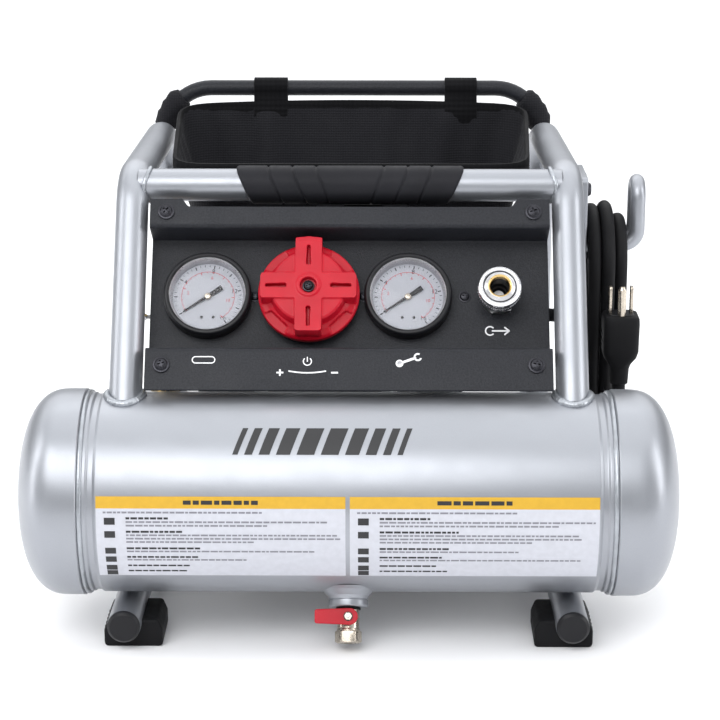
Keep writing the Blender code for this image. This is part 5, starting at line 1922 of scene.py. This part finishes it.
def air_lines():
    """Manifold behind the panel, relief valve on its end, check valve, and copper line from the head."""
    row = on_panel(0.001, ROW, PIPE_DEPTH)
    parts = [block("manifold_bar", (0.192, 0.018, 0.018), ALUMINIUM, row, 0.0012, 0.0015)]
    for x in (-0.0835, 0.0330, 0.0855, -0.0245):
        parts.append(hex_head("union", 0.015, 0.0088, 0.0125, BRASS, row @ shift(x, 0, 0), 0.0005))
    fixed("manifold_set", parts, row, "cast_aluminium", "manifold")

    valve = on_panel(-0.0950, ROW, PIPE_DEPTH) @ ALONG_MINUS_X
    profile = [
        (0, 0), (5.2, 0), (5.2, 4.2), (6.6, 4.6), (6.6, 10), (5.8, 10.8), (5.5, 20), (4.6, 23), (0, 23),
    ]
    fitting("relief", profile, 0.0124, 0.0098, valve, "relief_valve")

    around = math.radians(CHECK_LEAN)
    across, height = TANK_Y + TANK_RADIUS * math.sin(around), TANK_Z + TANK_RADIUS * math.cos(around)
    check = shift(CHECK_X, across, height) @ turn("X", -CHECK_LEAN)
    profile = [
        (0, -1), (5.5, -1), (5.5, 4), (7.2, 4.4), (7.2, 11), (6.4, 11.8), (6.4, 18), (5.2, 20), (0, 20),
    ]
    fitting("check", profile, 0.0152, 0.0108, check, "check_valve")

    top = check @ Vector((0, 0, 0.0203))
    rise = check @ Vector((0, 0, 0.0340))
    end = at(CRANK_X, LINE_END, LINE_HEIGHT)
    corners = [top, rise, at(CHECK_X, LINE_BEHIND, 0.156), at(CRANK_X, LINE_BEHIND, LINE_HEIGHT), end]
    line = bent(corners, 0.009, 10)
    parts = [swept("copper_line", line, 0.0032, COPPER, 20)]
    nuts = ((0.0, 0.0070, check @ shift(0, 0, 0.0204)), (-0.0072, -0.0003, shift(end) @ ALONG_Y))
    for low, high, place in nuts:
        parts.append(hex_head("line_nut", 0.011, low, high, BRASS, place, 0.0005))
    coil = []
    for k in range(97):
        spot = top.lerp(rise, 0.52 + 0.46 * k / 96)
        a = 2 * math.pi * k / 12
        coil.append(spot + check.to_3x3() @ Vector((0.0042 * math.cos(a), 0.0042 * math.sin(a), 0)))
    parts.append(swept("line_guard", coil, 0.0006, STEEL, 8))
    fixed("delivery_line", parts, shift(top), "copper", "discharge_tube")


# The floor


def floor():
    surface = Finish("floor_paper", (0.93, 0.93, 0.94), 0.75)
    surface.tint(surface.noise(3, 2), 0.99, 1.01)
    made = solid(
        "floor", [(-8, -8, 0), (8, -8, 0), (8, 8, 0), (-8, 8, 0)], [(0, 1, 2, 3)], surface.material,
    )


# The nodes kept as packed take a finish of their own

NODE_FINISH = {
    "silver_paint": SILVER, "bare_steel": STEEL, "cast_aluminium": ALUMINIUM, "brass": BRASS,
    "chrome": CHROME, "panel_black": PANEL_BLACK, "black_plastic": PLASTIC, "black_rubber": RUBBER,
    "red_plastic": RED, "black_fabric": FABRIC, "clear_lens": GLASS, "copper": COPPER,
}


def kept_nodes():
    for part in frame["record"]["subparts"]:
        materials = frame["nodes"][part["node"]].data.materials
        materials.clear()
        materials.append(NODE_FINISH[part["material_slot"]])


camera()
studio()
floor()
kept_nodes()
tank_shell()
for word, side in SIDES:
    tank_end(word, side)
tank_label()
tank_mark()
side_frames()
handle()
grip()
panel_sheet()
panel_screws()
panel_symbols()
gauge("tank", TANK_GAUGE_X)
gauge("tool", TOOL_GAUGE_X)
knob()
coupler()
drain()
power_cord()
hook()
bag()
bag_rail()
webbing_loops()
switch_box()
motor_case()
shroud()
pump()
deck()
air_lines()
